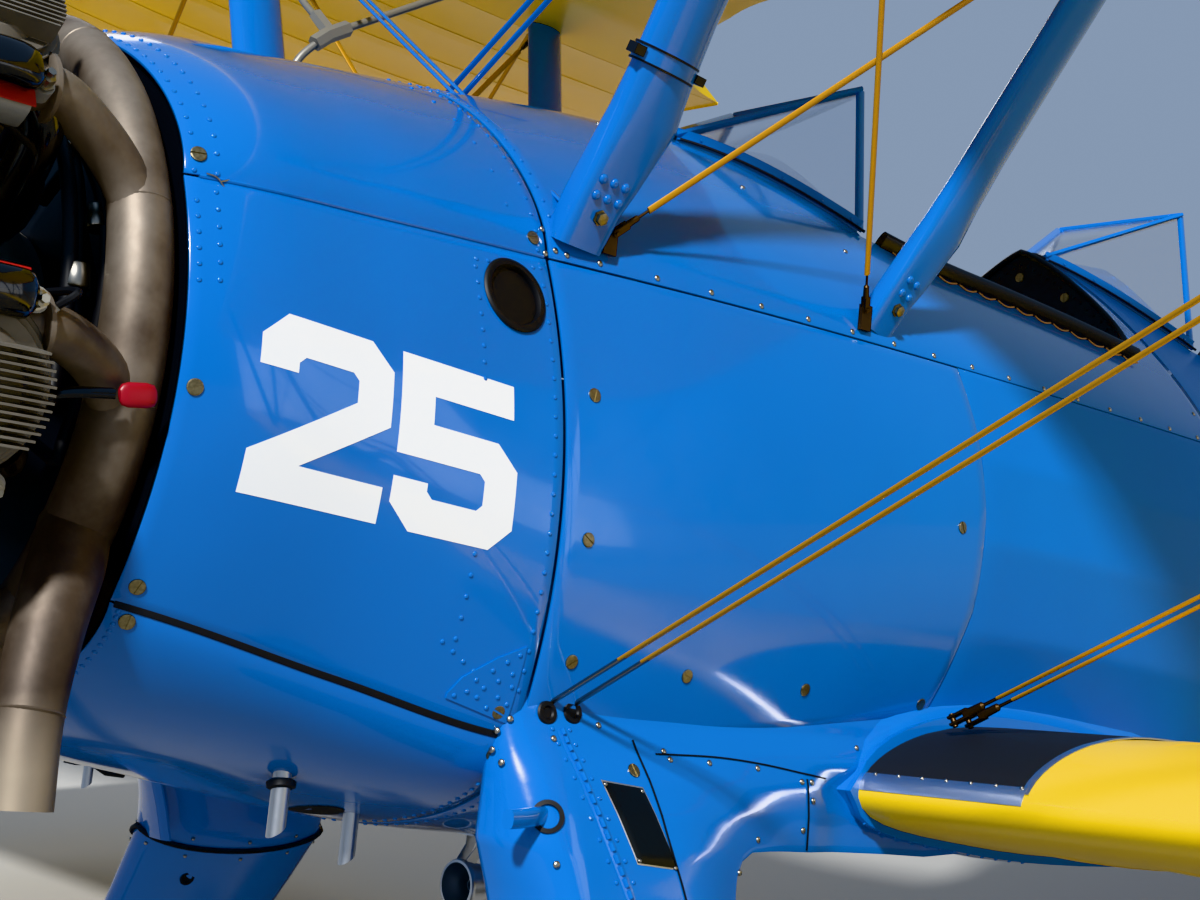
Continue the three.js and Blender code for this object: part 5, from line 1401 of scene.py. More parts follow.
x = np.concatenate([np.array([-38, -37.2, -35, -31, -25, -17, -8, 4, 18, 34]), np.linspace(52, 330, 22),
                    [338, 341, 344, 347, 351, 359, 368, 381, 397], np.linspace(420, 1036, 26)])
low = np.interp(x, ARCH[:, 0], ARCH[:, 1])
share = np.linspace(0, 1, 40) ** 0.9
columns_z = -334 + (low[:, None] + 334) * share[None, :]
columns_x = np.broadcast_to(x[:, None], columns_z.shape)
front_lean = np.interp(-columns_z, [334, 540, 603, 655], [10, 0, 24, 40])
front_lean = front_lean * np.clip((60 - columns_x) / 98, 0, 1)
columns_x = columns_x + front_lean
face = np.stack([columns_x, fairing_face(columns_x - front_lean, columns_z), columns_z], -1)
facing = fairing_facing(columns_x - front_lean, columns_z)
fairing = sheet_shell(face, facing, 4.0)
nose_rows = [face[0] + (0.3, 0.5, 0), face[0] + (3, 8, 0), face[0] + (8, 14, 0)]
nose = sheet_shell(np.stack(nose_rows, 0), np.broadcast_to((-1.0, 0, 0), (3, 40, 3)), 3)
pair("gear_fairing_{}", joined([fairing, nose]), blue_enamel, "blue_enamel", "gear_and_root_fairing_{}")


def ribbon(points, width, thickness, lift=0.6):
    """A narrow raised seam along (x, z) points of the fairing's face."""
    p = curve_through(points, 4 * len(points) + 6)
    upright = abs(p[0, 0] - p[-1, 0]) < abs(p[0, 1] - p[-1, 1])
    across = (0.6, 0, 0.02) if upright else (0, 0.1, 1)
    return swept_shape(on_fairing(p[:, 0], p[:, 1], lift), oval(width, thickness, 8, 3), across=across)


HINGE_LINE = [(52, -400), (64, -440), (78, -490), (98, -545), (120, -600), (132, -650)]
PANEL_LINE = [(177, -408), (190, -470), (203, -540), (218, -596), (228, -650)]
ROOT_LINE = [(215, -424), (333, -424), (430, -430), (520, -440), (575, -446)]
REAR_LINE = [(528, -448), (530, -500), (531, -548)]
seams = [ribbon(line, 2.4, proud) for line, proud in ((PANEL_LINE, 3.4), (ROOT_LINE, 3.0), (REAR_LINE, 3.0))]
hinge = curve_through(HINGE_LINE, 60)
shapes = [swept_shape(on_fairing(*hinge[i:i + 3].T, 2.2), oval(7, 6, 8)) for i in range(0, 57, 3)]
shapes.append(ribbon(HINGE_LINE, 16, 1.6, 0.5))
piece("fairing_hinges", both_sides(shapes), blue_enamel, "blue_enamel")
# The panel, root and rear seam strips are near-black: painted shade in the gaps between the fairing's panels.
painted_gap_shade, _, _ = new_material("shadowed_panel_gap", "#05070c", Roughness=0.9)
piece("fairing_seams", both_sides(seams), painted_gap_shade, "black_metal")


def on_both_fairings(name, head, places, material, slot, lift=0.2, seed=3):
    """Heads at (x, z) places of the face and on the other side."""
    x, z = np.array(places, float).T
    spots, ways = on_fairing(x, z, lift), fairing_facing(x, z)
    spots, ways = (np.concatenate([port, port * (1, -1, 1)]) for port in (spots, ways))
    return scatter(name, head, spots, ways, material, slot, seed=seed)


beside_hinge = [(px + side, pz) for px, pz in curve_through(HINGE_LINE, 12) for side in (-15, 15)]
on_both_fairings("fairing_rivets", dome_rivet, beside_hinge, blue_enamel, "blue_enamel")
FAIRING_SCREWS = [(36, -412), (-20, -392), (-33, -408), (-36, -432), (-31, -446), (8, -560), (240, -430),
                  (318, -432), (420, -436), (516, -452), (538, -452), (540, -478), (520, -520), (410, -532),
                  (357, -574), (232, -420), (244, -616), (655, -400), (120, -392)]
on_both_fairings("fairing_screws", round_screw, FAIRING_SCREWS, bright_steel, "bare_steel", seed=5)
on_both_fairings("fairing_fasteners", quarter_turn, [(164, -446)], cadmium, "bare_steel", seed=2)
PLATE = np.array([(101, -460), (172, -467), (209, -568), (139, -558)], float)


def plate_shape(grow, lift, thickness):
    """A thin plate on the fairing between the plate's corners, grown about its middle."""
    across, down = np.linspace(-grow, 1 + grow, 12), np.linspace(-grow * 0.7, 1 + grow * 0.7, 16)
    u, v = np.meshgrid(across, down, indexing="ij")
    flat = PLATE[0] + u[..., None] * (PLATE[1] - PLATE[0]) + v[..., None] * (PLATE[3] - PLATE[0])
    x, z = flat[..., 0], flat[..., 1]
    return sheet_shell(on_fairing(x, z, lift + thickness), fairing_facing(x, z), thickness)


border, field = plate_shape(0.02, 0.1, 1.0), plate_shape(-0.01, 0.6, 0.9)
black_plate, _, _ = new_material("black_anodised_plate", "#15181a", Roughness=0.3, Metallic=0.3)
piece("data_plate_border", both_sides([border]), brushed_aluminium, "bare_aluminium")
piece("blank_data_plate", both_sides([field]), black_plate, "black_metal")
on_both_fairings("data_plate_screws", turned_head("plate_screw", [(3, -0.5), (3, 0.6), (1.6, 1.6)], 10),
                 [(105, -464), (169, -471), (206, -564), (142, -555)], bright_steel, "bare_steel", lift=1.2)
PEG_HOLE = (np.array([4.0]), np.array([-505.0]))
peg_hole = on_fairing(*PEG_HOLE, 0.6)[0]
peg = swept_shape(curve_through([peg_hole + (0, 10, 0), peg_hole + (-40, -8, -1),
                                 peg_hole + (-82, -20, -2)], 10), oval(24, 17, 16, 2.6), across=(0, 0, 1))
ring = turned_shape([(15, -1), (21, -0.5), (21, 1.5), (15, 2)], peg_hole, fairing_facing(*PEG_HOLE)[0],
                    28, ring=True)
piece("step_pegs", both_sides([peg]), blue_enamel, "blue_enamel")
piece("step_peg_grommets", both_sides([ring]), black_rubber, "tyre_rubber")
grommets = []
GROMMET = [(3, -4), (14, -3), (16, 0), (14, 2.5), (9, 2.5), (7, 0), (3, 0)]
for place in ((32, -381), (76, -378)):
    x, z = np.array(place, float)[:, None]
    grommets.append(turned_shape(GROMMET, on_fairing(x, z, 1.0)[0], fairing_facing(x, z)[0], 24))
piece("wire_grommets", both_sides(grommets), black_rubber, "tyre_rubber")
FILLET_STEPS = [(-418, 58, 14), (-423, 46, 13), (-430, 34, 12), (-437, 26, 11), (-444, 20, 10), (-451, 16, 9)]
fillet = loft_shape([wing_ring(LOWER, y, grow=grow, under=under) for y, grow, under in FILLET_STEPS])
BAND_STEPS = [(-449, 15, 8), (-451, 19, 12), (-460, 18.5, 11.5), (-461, 8, 3)]
band = loft_shape([wing_ring(LOWER, y, grow=grow, under=under) for y, grow, under in BAND_STEPS])
pair("wing_root_fillet_{}", joined([fillet, band]), blue_enamel, "blue_enamel")
flange = [on_wing(LOWER, -455, f, -1, -12) for f in np.linspace(0.02, 0.3, 12)]
ways = [(0, side * 0.5, -0.85) for side in (-1, 1) for _ in flange]
flange += [p * (1, -1, 1) for p in flange]
scatter("fillet_rivets", dome_rivet, flange, ways, blue_enamel, "blue_enamel")


# Landing gear legs and main wheels
# Faired cantilever legs in blue enamel with a black rubber strap round the top of the fairing;
# ribbed balloon tyres on dished aluminium hubs with a blue cap.
LEG = np.array([  # height, front, back, inner and outer edge
    (-455, -20, 328, -394, -456), (-500, -22, 332, -397, -482), (-548, -24, 337, -401, -500),
    (-600, -4, 342, -405, -516), (-640, 0, 347, -408, -538), (-660, 0, 345, -414, -548),
    (-730, 6, 338, -466, -594), (-800, 12, 330, -520, -640), (-900, 22, 310, -585, -702),
    (-1000, 34, 290, -650, -762), (-1080, 43, 276, -700, -812), (-1150, 52, 262, -748, -856),
    (-1200, 62, 248, -778, -872), (-1236, 74, 232, -800, -880)], float)


def leg_ring(z, grow=0.0, count=40):
    """The leg's outline at one height: round in front, tapering aft."""
    front, back, inner, outer = (np.interp(-z, -LEG[:, 0], LEG[:, k]) for k in range(1, 5))
    turn = np.arange(count) * 2 * np.pi / count
    along, across = np.cos(turn), np.sin(turn)
    full = np.sign(across) * np.abs(across) ** 0.86
    taper = 1 - 0.42 * np.maximum(along, 0) ** 1.5
    x = (front + back) / 2 + along * ((back - front) / 2 + grow)
    y = (inner + outer) / 2 + full * taper * ((inner - outer) / 2 + grow)
    return np.stack([x, y, np.full(count, float(z))], -1)


levels = np.concatenate([np.linspace(-455, -620, 8), np.linspace(-640, -1200, 26), [-1215, -1228, -1236]])
leg = loft_shape([leg_ring(z, -8 * max(0, (-z - 1205) / 31) ** 2) for z in levels])
RING_TURN = np.arange(40) * 2 * np.pi / 40
strap_height = -640 - 34 * np.abs(np.sin(RING_TURN)) * (1 - 0.15 * np.cos(RING_TURN))
strap_line = np.array([leg_ring(z, 3.6)[k] for k, z in enumerate(strap_height)])
strap = swept_shape(strap_line, oval(9, 9, 10), across=(0, 0, 1), closed=True)
LEG_PORT = [(3, -3), (12, -3), (13, 0), (12, 2), (8, 2), (6.5, 0.4), (3, 0.4)]
leg_port = turned_shape(LEG_PORT, leg_ring(-724)[13], (0, 1, -0.42), 24)
AXLE_AT = (150, 0, -1222)
axle = turned_shape([(26, 740), (26, 1030)], AXLE_AT, (0, -1, 0), 24)
collar = turned_shape([(60, 846), (62, 850), (62, 884), (58, 888)], AXLE_AT, (0, -1, 0), 32)
leg_screws, leg_ways = [], []
for shift in (15, -15):
    ring = np.array([leg_ring(z + shift, 0.2)[k] for k, z in enumerate(strap_height)])
    for k in range(2, 40, 4):
        way = unit((ring[(k + 1) % 40] - ring[k - 1])[[1, 0, 2]] * (1, -1, 0))
        way *= np.sign(way @ (ring[k] - ring.mean(0)))
        leg_screws.append(ring[k])
        leg_ways.append(way)
pair("gear_leg_{}_shell", joined([leg, collar]), blue_enamel, "blue_enamel", "gear_leg_{}")
pair("axle_{}", axle, bright_steel, "bare_steel")
pair("leg_strap_{}", joined([strap, leg_port]), black_rubber, "tyre_rubber")
for hand, word in ((1, "left"), (-1, "right")):
    spots, ways = np.array(leg_screws) * (1, hand, 1), np.array(leg_ways) * (1, hand, 1)
    scatter(f"leg_screws_{word}", small_screw, spots, ways, bright_steel, "bare_steel")
tyre_rubber, tree, shader, where = textured("black_tyre_rubber", "#19191b", Roughness=0.78)
drifting_colour(tree, shader, where, "#151517", "#2b2926", Scale=22.0, Detail=6.0)


def tyre_profile(radius, width, bead, grooves):
    """A balloon tyre's closed outline with shallow grooves round its crown."""
    turn = np.linspace(-2.45, 2.45, 61)
    along = np.sin(turn) * width / 2 * np.where(np.abs(turn) > 1.57, 0.86 + 0.14 * np.abs(np.sin(turn)), 1)
    middle = (radius + bead) / 2
    height = middle + np.cos(turn) * (radius - bead) / 2
    for groove in grooves:
        height = height - 3.2 * (np.abs(along - groove) < width * 0.022) * (np.cos(turn) > 0.3)
    return [(max(r, bead), a) for r, a in zip(height, along)]


HUB = [(27, -64), (58, -66), (68, -34), (96, -46), (126, -60), (139, -66), (146, -68), (146, -60), (139, -54),
       (139, 54), (146, 60), (146, 68), (139, 66), (124, 60), (104, 44), (76, 38), (70, 46), (66, 60),
       (56, 71), (27, 84)]  # radius and place along the axle
HALF_TRACK = 965
for hand, word in ((-1, "left"), (1, "right")):
    centre, axis, body = np.add(AXLE_AT, (0, hand * HALF_TRACK, 0)), (0, hand, 0), f"wheel_{word}"
    tyre = turned_shape(tyre_profile(304.6, 204, 140, (-52, -26, 0, 26, 52)), centre, axis, 96, ring=True)
    piece(f"balloon_tyre_{word}", tyre, tyre_rubber, "tyre_rubber", f"tyre_{word}", body=body)
    hub = turned_shape(HUB, centre, axis, 64, ring=True)
    piece(f"hub_{word}", hub, brushed_aluminium, "bare_aluminium", f"wheel_hub_{word}", body=body)
    cap = turned_shape([(27.5, 80), (52, 74), (50, 84), (42, 88), (27.5, 89)], centre, axis, 48, ring=True)
    around = [np.array(centre) + (math.cos(t) * 88, 0, math.sin(t) * 88) for t in np.arange(8) * np.pi / 4]
    bolts = [turned_shape([(7, 40), (9, 47), (9, 51), (6, 53)], spot, axis, 6) for spot in around]
    piece(f"hub_cap_{word}", cap, blue_enamel, "blue_enamel", body=body)
    piece(f"hub_bolts_{word}", joined(bolts), cadmium, "bare_steel", body=body)


# Engine
# Seven-cylinder radial: grey cast case, finned cylinders and heads, black rocker covers on red
# gaskets held by steel nuts, black pushrod tubes, intake pipes and ignition leads.
ENGINE_X = -800
CYLINDERS = 7
fin_iron, tree, shader, where = textured("grey_enamelled_cylinder_iron", "#4b4945", Metallic=0.35,
                                         Roughness=0.5)
drifting_colour(tree, shader, where, "#8d887e", "#55504a", Scale=16.0, Detail=6.0)
cast_aluminium, tree, shader, where = textured("sand_cast_aluminium", "#a3a19b", Metallic=0.45, Roughness=0.5)
raised_grain(tree, shader, where, 0.35, 0.0008, Scale=320.0, Detail=3.0)
red_gasket, _, _ = new_material("red_silicone_gasket", "#a3251f", Roughness=0.55)


def spin(shape, turn):
    """A shape turned about the thrust line; the top cylinder is at zero, the next to port."""
    verts, faces = shape
    v = np.asarray(verts, float)
    c, s = math.cos(turn), math.sin(turn)
    return np.stack([v[:, 0], v[:, 1] * c - v[:, 2] * s, v[:, 1] * s + v[:, 2] * c], -1), faces


def fins(profile_radius, start, end, pitch, root):
    """A stack of thin fins: a turned profile that steps out and in along the cylinder."""
    steps = []
    for h in np.arange(start, end, pitch):
        radius = profile_radius(h)
        steps += [(root(h), h), (radius - 1, h + 0.2), (radius, h + 1.2), (radius - 1, h + 2.4),
                  (root(h + 2.6), h + 2.6)]
    return steps


def head_radius(h):
    """The fins' radius up the cylinder head, which narrows over its dome."""
    return 100 - 0.0022 * (h - 430) ** 2 if h < 470 else 96.5 - (h - 470)


def on_each_cylinder(shape):
    """A shape of the top cylinder at all the cylinders."""
    return [spin(shape, 2 * np.pi * n / CYLINDERS) for n in range(CYLINDERS)]


CYLINDER_AT, UP, AFT = (ENGINE_X, 0, 0), (0, 0, 1), (1, 0, 0)
barrel = [(92, 172), (92, 200), (76, 204)] + fins(lambda h: 88, 210, 396, 7.2, lambda h: 74) + [(74, 400)]
head = [(72, 398)] + fins(head_radius, 402, 490, 7.4, lambda h: min(86, head_radius(h) - 14))
head += [(56, 496), (30, 500)]
one = [turned_shape(profile, CYLINDER_AT, UP, 40) for profile in (barrel, head)]
for y in np.linspace(-48, 48, 13):
    one.append(box_shape((ENGINE_X, y, 500), (math.sqrt(84 ** 2 - y ** 2), 1.3, 12)))
cylinders = joined(on_each_cylinder(joined(one)))
piece("finned_cylinders", cylinders, fin_iron, "engine_iron", "engine_cylinders", smooth_below=30)
PLUG = [(11, -6), (11, 8), (8, 10), (8, 26), (6, 28), (6, 44)]
CASE = [(118, -955), (150, -952), (172, -944), (186, -920), (190, -884), (196, -872), (196, -862),
        (188, -858), (188, -668), (196, -664), (196, -640), (190, -628), (176, -606), (156, -586),
        (150, -569.5)]
case = turned_shape(CASE, (0, 0, 0), AFT, 56)
pads = on_each_cylinder(turned_shape([(104, 168), (104, 184), (98, 188)], CYLINDER_AT, UP, 28))
piece("crankcase", joined([case] + pads), cast_aluminium, "engine_case")
boxes, rocker_lids, gaskets, nuts, tubes, pipes, leads, sleeves, plugs = [], [], [], [], [], [], [], [], []
for n in range(CYLINDERS):
    turn = 2 * np.pi * n / CYLINDERS
    for hand in (-1, 1):
        tilt = hand * 0.2
        front, back, high = ENGINE_X - 74, ENGINE_X + 50, 494
        lid = [(front, 0, high - 12), (front + 16, 0, high - 4), (back - 30, 0, high + 2),
               (back, 0, high - 8)]
        lid = swept_shape(curve_through(lid, 14), oval(50, 34, 20, 2.7), across=(0, 1, 0),
                          scale=np.interp(np.arange(14), [0, 1, 2, 11, 13], [0.62, 0.9, 1, 1, 0.66]))
        rocker_lids.append(spin(lid, turn + tilt))
        gasket = swept_shape([(front + 2, 0, high - 21), (back + 2, 0, high - 20)], oval(61, 3.4, 16, 5),
                             across=(0, 1, 0))
        gaskets.append(spin(gasket, turn + tilt))
        base = swept_shape([(front + 6, 0, high - 46), (back + 1, 0, high - 44)], oval(60, 46, 18, 3.6),
                           across=(0, 1, 0))
        boxes.append(spin(base, turn + tilt))
        for x, y in ((front - 3, 0), (back + 10, 0)):
            nut = turned_shape([(12, 0), (12, 2), (9, 2.4), (9, 12), (5, 13), (5, 20)], (x, y, high - 14),
                               (0, 0, 1), 6)
            nuts.append(spin(nut, turn + tilt))
            ear = turned_shape([(14, -16), (14, 0)], (x, y, high - 15), (0, 0, 1), 16)
            boxes.append(spin(ear, turn + tilt))
        rod_foot = np.array((ENGINE_X - 106, hand * 34, 176))
        rod_head = np.array((ENGINE_X - 66, hand * 88, 462))
        tubes.append(spin(swept_shape(np.linspace(rod_foot, rod_head, 3), oval(24, 24, 16)), turn))
        for at, size in ((0.03, 32), (0.97, 34)):
            sleeve = turned_shape([(size / 2, -9), (size / 2, 9)], rod_foot + (rod_head - rod_foot) * at,
                                  rod_head - rod_foot, 14)
            sleeves.append(spin(sleeve, turn))
        plug = np.array((ENGINE_X + (64 if hand > 0 else -66), hand * 58, 448))
        plug_way = np.array((0.5 * hand, hand * 0.8, 0.35))
        plugs.append(spin(turned_shape(PLUG, plug, plug_way, 6), turn))
        tip = plug + plug_way * 42
        lead = curve_through([tip, tip + (16 * hand, 20 * hand, 6), (ENGINE_X + 96, hand * 96, 380),
                              (ENGINE_X + 118, hand * 74, 230),
                              (-868 if hand < 0 else -660, hand * 30, 206)], 22)
        leads.append(spin(swept_shape(lead, oval(9, 9, 8)), turn))
    intake = curve_through([(-700, -36, 176), (-690, -62, 236), (-696, -76, 330), (-706, -74, 404),
                            (-730, -58, 440)], 18)
    pipes.append(spin(swept_shape(intake, oval(50, 50, 18)), turn))
piece("rocker_boxes", joined(boxes), cast_aluminium, "engine_iron")
piece("rocker_covers", joined(rocker_lids), gloss_black, "engine_case")
piece("rocker_gaskets", joined(gaskets), red_gasket, "engine_case")
piece("rocker_nuts_and_plugs", joined(nuts + plugs), bright_steel, "bare_steel")
piece("pushrod_tubes", joined(tubes), gloss_black, "black_metal")
piece("pushrod_sleeves_and_clips", joined(sleeves), bright_steel, "bare_steel")
piece("intake_pipes", joined(pipes), gloss_black, "black_metal")
piece("ignition_leads", joined(leads), black_rubber, "tyre_rubber")
NOSE_CASE = [(52, -1114), (84, -1106), (90, -1092), (94, -1074), (100, -1066), (104, -1040), (120, -1012),
             (140, -984), (152, -968), (166, -964), (166, -956), (158, -955.4)]
nut = turned_shape([(8, 0), (8, 8), (5, 9), (5, 14)], (-966, 0, 158), (-1, 0, 0), 6)
nose_nuts = [spin(nut, t) for t in np.arange(18) * np.pi / 9]
nose_case = turned_shape(NOSE_CASE, (0, 0, 0), AFT, 56)
piece("nose_case", nose_case, cast_aluminium, "engine_case", "engine_nose_case")
piece("nose_case_nuts", joined(nose_nuts), bright_steel, "bare_steel")
MAGNETO = [(36, 0), (38, 6), (38, 64), (30, 74), (12, 78)]
magnetos = [turned_shape(MAGNETO, (-930, side * 74, 118), (-1, 0, 0), 24) for side in (-1, 1)]
hoop = [(-868, 214 * math.sin(t), 214 * math.cos(t)) for t in np.linspace(0, 2 * np.pi, 72, endpoint=False)]
ring = swept_shape(hoop, oval(18, 18, 12), across=AFT, closed=True)
belly = curve_through([(-880, 0, -196), (-760, 0, -232), (-640, 0, -214)], 10)
sump = swept_shape(belly, oval(110, 80, 20, 3), across=(0, 1, 0))
piece("magnetos_and_sump", joined(magnetos + [sump]), cast_aluminium, "engine_case")
piece("ignition_harness_ring", ring, bright_steel, "bare_steel")
lip_turns = np.linspace(0, 4, 120, endpoint=False)
lip = skin(-541, lip_turns) - skin_facing(-541, lip_turns) * 14 * (0, 1, 1)
drawn_in = [lip * (0, share, share) + (x, 0, 0) for share, x in ((0.55, -556), (0.32, -568), (0.32, -533))]
baffle = loft_shape([lip, *drawn_in, lip + (8, 0, 0)], closed=True)
piece("engine_bay_baffle", baffle, black_paint, "black_metal", "engine_baffle")
HOSES = [  # first and last turn, radius from the axis, place along it, radius of the hose
    (0.55, 1.9, 342, -642, 9), (0.7, 1.7, 322, -622, 11), (0.85, 2.1, 330, -600, 8),
    (0.4, 1.5, 300, -598, 10), (3.6, 4.7, 320, -600, 10)]
hoses = []
for first, last, away, x, r in HOSES:
    turns = np.linspace(first, last, 26)
    bow = away + 14 * np.sin((turns - first) / (last - first) * np.pi * 2)
    arc = np.stack([np.full(26, x) + 8 * np.cos(turns * 4), -np.sin(turns) * bow, np.cos(turns) * bow], -1)
    arc[0] *= (1, 0.72, 0.72)
    arc[-1] *= (1, 0.72, 0.72)
    hoses.append(swept_shape(curve_through(arc, 60), oval(2 * r, 2 * r, 10)))
clips = []
for first, away, x, r in ((1.2, 336, -605, 12), (1.42, 330, -626, 14), (0.95, 350, -640, 12)):
    middle = np.array([x, -math.sin(first) * away, math.cos(first) * away])
    along = (0, -math.cos(first), -math.sin(first))
    clips.append(turned_shape([(r, -14), (r + 1.5, -12), (r + 1.5, 12), (r, 14)], middle, along, 20))
piece("hose_clips", joined(clips), bright_steel, "bare_steel")
piece("engine_hoses", joined(hoses), black_rubber, "tyre_rubber")


# Exhaust
# Welded stainless collector ring behind the cylinders, with a branch from each head and one port
# tailpipe, heat-tinted from straw to brown.
heat_tinted, tree, shader, where = textured("heat_tinted_stainless_steel", "#7c6a58", Metallic=0.6,
                                            Roughness=0.5)
cloud = add_node(tree, "ShaderNodeTexNoise", Vector=where, Scale=3.4, Detail=6.0, Roughness=0.6)
ramp = add_node(tree, "ShaderNodeValToRGB", Fac=cloud.outputs["Fac"])
for place, colour in ((0.3, "#443c35"), (0.42, "#5d5248"), (0.5, "#776c60"), (0.58, "#887e72"),
                      (0.7, "#565049")):
    stop = ramp.color_ramp.elements.new(place)
    stop.color = linear(colour)
ramp.color_ramp.elements.remove(ramp.color_ramp.elements[0])
ramp.color_ramp.elements.remove(ramp.color_ramp.elements[-1])
# Below 1.19 m up the colour turns a pale grey-brown, blending back into the heat tint by 1.27 m.
height = add_node(tree, "ShaderNodeSeparateXYZ", Vector=where)
paler_below = add_node(tree, "ShaderNodeMapRange", Value=height.outputs["Z"], _1=1.27, _2=1.19)
tint_paler_below = add_node(tree, "ShaderNodeMix", {"data_type": "RGBA"}, Factor=paler_below.outputs["Result"],
                 _6=ramp.outputs["Color"], _7=linear("#9c8f7d"))
tree.links.new(tint_paler_below.outputs[2], shader.inputs["Base Color"])
soot = add_node(tree, "ShaderNodeTexNoise", Vector=where, Scale=26.0, Detail=8.0, Roughness=0.7)
gloss = add_node(tree, "ShaderNodeMapRange", Value=soot.outputs["Fac"], _3=0.42, _4=0.66)
tree.links.new(gloss.outputs["Result"], shader.inputs["Roughness"])
bump = add_node(tree, "ShaderNodeBump", Height=soot.outputs["Fac"], Strength=0.12, Distance=0.002)
tree.links.new(bump.outputs["Normal"], shader.inputs["Normal"])
COLLECTOR = {"x": -582, "radius": 388}


def around(turn, radius, x):
    """A place at a turn about the thrust line, from the top towards port."""
    return np.array([x, -math.sin(turn) * radius, math.cos(turn) * radius])


def ring_tube(turn):
    """The collector's tube grows towards the tailpipe, low on the port side."""
    away = np.abs((turn - 2.2 + np.pi) % (2 * np.pi) - np.pi)
    return np.interp(away, [0, 0.5, 1.1, np.pi], [41, 39, 35, 31])


ring_turns = np.linspace(0, 2 * np.pi, 96, endpoint=False)
ring = [around(t, COLLECTOR["radius"], COLLECTOR["x"]) for t in ring_turns]
exhaust = [swept_shape(ring, oval(2, 2, 24), across=(1, 0, 0), scale=ring_tube(ring_turns), closed=True)]
welds = []
BRANCH_LEANS = (-0.16, 0.15, -0.15, -0.1, -0.14, -0.12, -0.16)  # from each cylinder's own turn
BRANCH_BENDS = [(0, 450, -712), (0.01, 438, -680), (0.05, 416, -636), (0.11, 398, -604), (0.2, 388, -583)]
for n, lean in enumerate(BRANCH_LEANS):
    turn = 2 * np.pi * n / CYLINDERS + lean
    port = around(turn, 446, ENGINE_X + 58)
    way = math.copysign(1, math.sin(2.2 - turn))
    branch = [port] + [around(turn + bend * way, radius, x) for bend, radius, x in BRANCH_BENDS]
    exhaust.append(swept_shape(curve_through(branch, 24), oval(56, 56, 20), scale=np.linspace(0.94, 1.0, 24)))
    exhaust.append(turned_shape([(34, -4), (38, -2), (38, 3), (34, 5)], around(turn, 451, ENGINE_X + 78),
                                (1, 0, 0.1), 24))
for t in (0.5, 1.22, 1.78, 2.9, 3.7, 4.6, 5.4):
    size = ring_tube(t)
    on_ring, a_bit_on = (around(at, COLLECTOR["radius"], COLLECTOR["x"]) for at in (t, t + 0.01))
    welds.append(turned_shape([(size - 1, -2.2), (size + 0.7, 0), (size - 1, 2.2)], on_ring,
                              a_bit_on - on_ring, 32))
STACK = [(-584, -316, -220), (-600, -340, -262), (-630, -374, -336), (-648, -394, -430), (-650, -402, -519)]
stack = curve_through(STACK, 30)
stack_size = np.interp(np.arange(30), [0, 8, 20, 29], [0.84, 0.88, 0.77, 0.76])
outer, _ = swept_shape(stack, oval(96, 93, 36), across=(1, 0, 0), scale=stack_size)
mouth, _ = swept_shape(stack[-7:], oval(90, 87, 36), across=(1, 0, 0), scale=stack_size[-7:])
rings = [*outer.reshape(30, 36, 3), *mouth.reshape(7, 36, 3)[::-1]]  # down outside, back up inside
exhaust.append(loft_shape(rings))
bead = 47 * float(stack_size[21])
welds.append(turned_shape([(bead, -2), (bead + 1.6, 0), (bead, 2)], stack[21], stack[22] - stack[20], 32))
piece("exhaust_collector_ring", joined(exhaust), heat_tinted, "heat_tinted_steel", "exhaust_collector")
piece("exhaust_weld_beads", joined(welds), heat_tinted, "heat_tinted_steel")
LEVER = [(-700, -360, -112), (-690, -410, -98), (-668, -430, -90), (-622, -438, -84)]
lever = swept_shape(curve_through(LEVER, 14), oval(13, 9, 12))
KNOB = [(-616, -438, -84), (-613, -438, -83.5), (-606, -438, -82.5), (-586, -440, -80), (-578, -440, -79),
        (-575, -440, -78.5)]
knob = swept_shape(KNOB, oval(27, 12, 20, 2.6), across=(0, 0, 1), scale=[0.5, 0.84, 1, 1, 0.84, 0.5])
piece("carburettor_heat_lever", lever, gloss_black, "black_metal")
red_plastic, _, _ = new_material("red_plastic_cap", "#8f1622", Roughness=0.38)
piece("red_lever_cap", knob, red_plastic, "black_metal")


# Propeller
# Two twisted forged aluminium blades, satin all over, in a steel hub with clamp rings.
PROP_X = -1190
forged, _, _ = new_material("satin_forged_aluminium", "#b9bcc0", Metallic=1.0, Roughness=0.34)
STATIONS = np.array([  # radius, chord, thickness and blade angle
    (150, 88, 86, 56), (190, 100, 72, 52), (260, 130, 48, 47), (330, 165, 34, 42), (480, 194, 28, 35),
    (640, 205, 24, 29), (800, 199, 20, 25), (960, 185, 16, 21), (1080, 165, 13.5, 18.6), (1180, 140, 11, 17),
    (1240, 108, 9, 16.4), (1274, 76, 8, 16), (1290, 44, 6.5, 16), (1294.5, 24, 5.5, 16)], float)


def blade_shape():
    """One blade: an oval shank that becomes a thin cambered section."""
    rings = []
    for r in np.concatenate([np.linspace(150, 1240, 40), [1256, 1268, 1278, 1286, 1291, 1294.5]]):
        chord, thick, angle = (np.interp(r, STATIONS[:, 0], STATIONS[:, k]) for k in (1, 2, 3))
        pitch = math.radians(90 - angle)
        turn = np.arange(28) * 2 * np.pi / 28
        c, t = np.cos(turn) * chord / 2, np.sin(turn) * thick / 2
        rings.append(np.stack([PROP_X + c * math.cos(pitch) - t * math.sin(pitch),
                               -c * math.sin(pitch) - t * math.cos(pitch), np.full(28, r)], -1))
    return loft_shape(rings)


def flipped(shape):
    """Half a turn about the thrust line."""
    return np.asarray(shape[0]) * (1, -1, -1), shape[1]


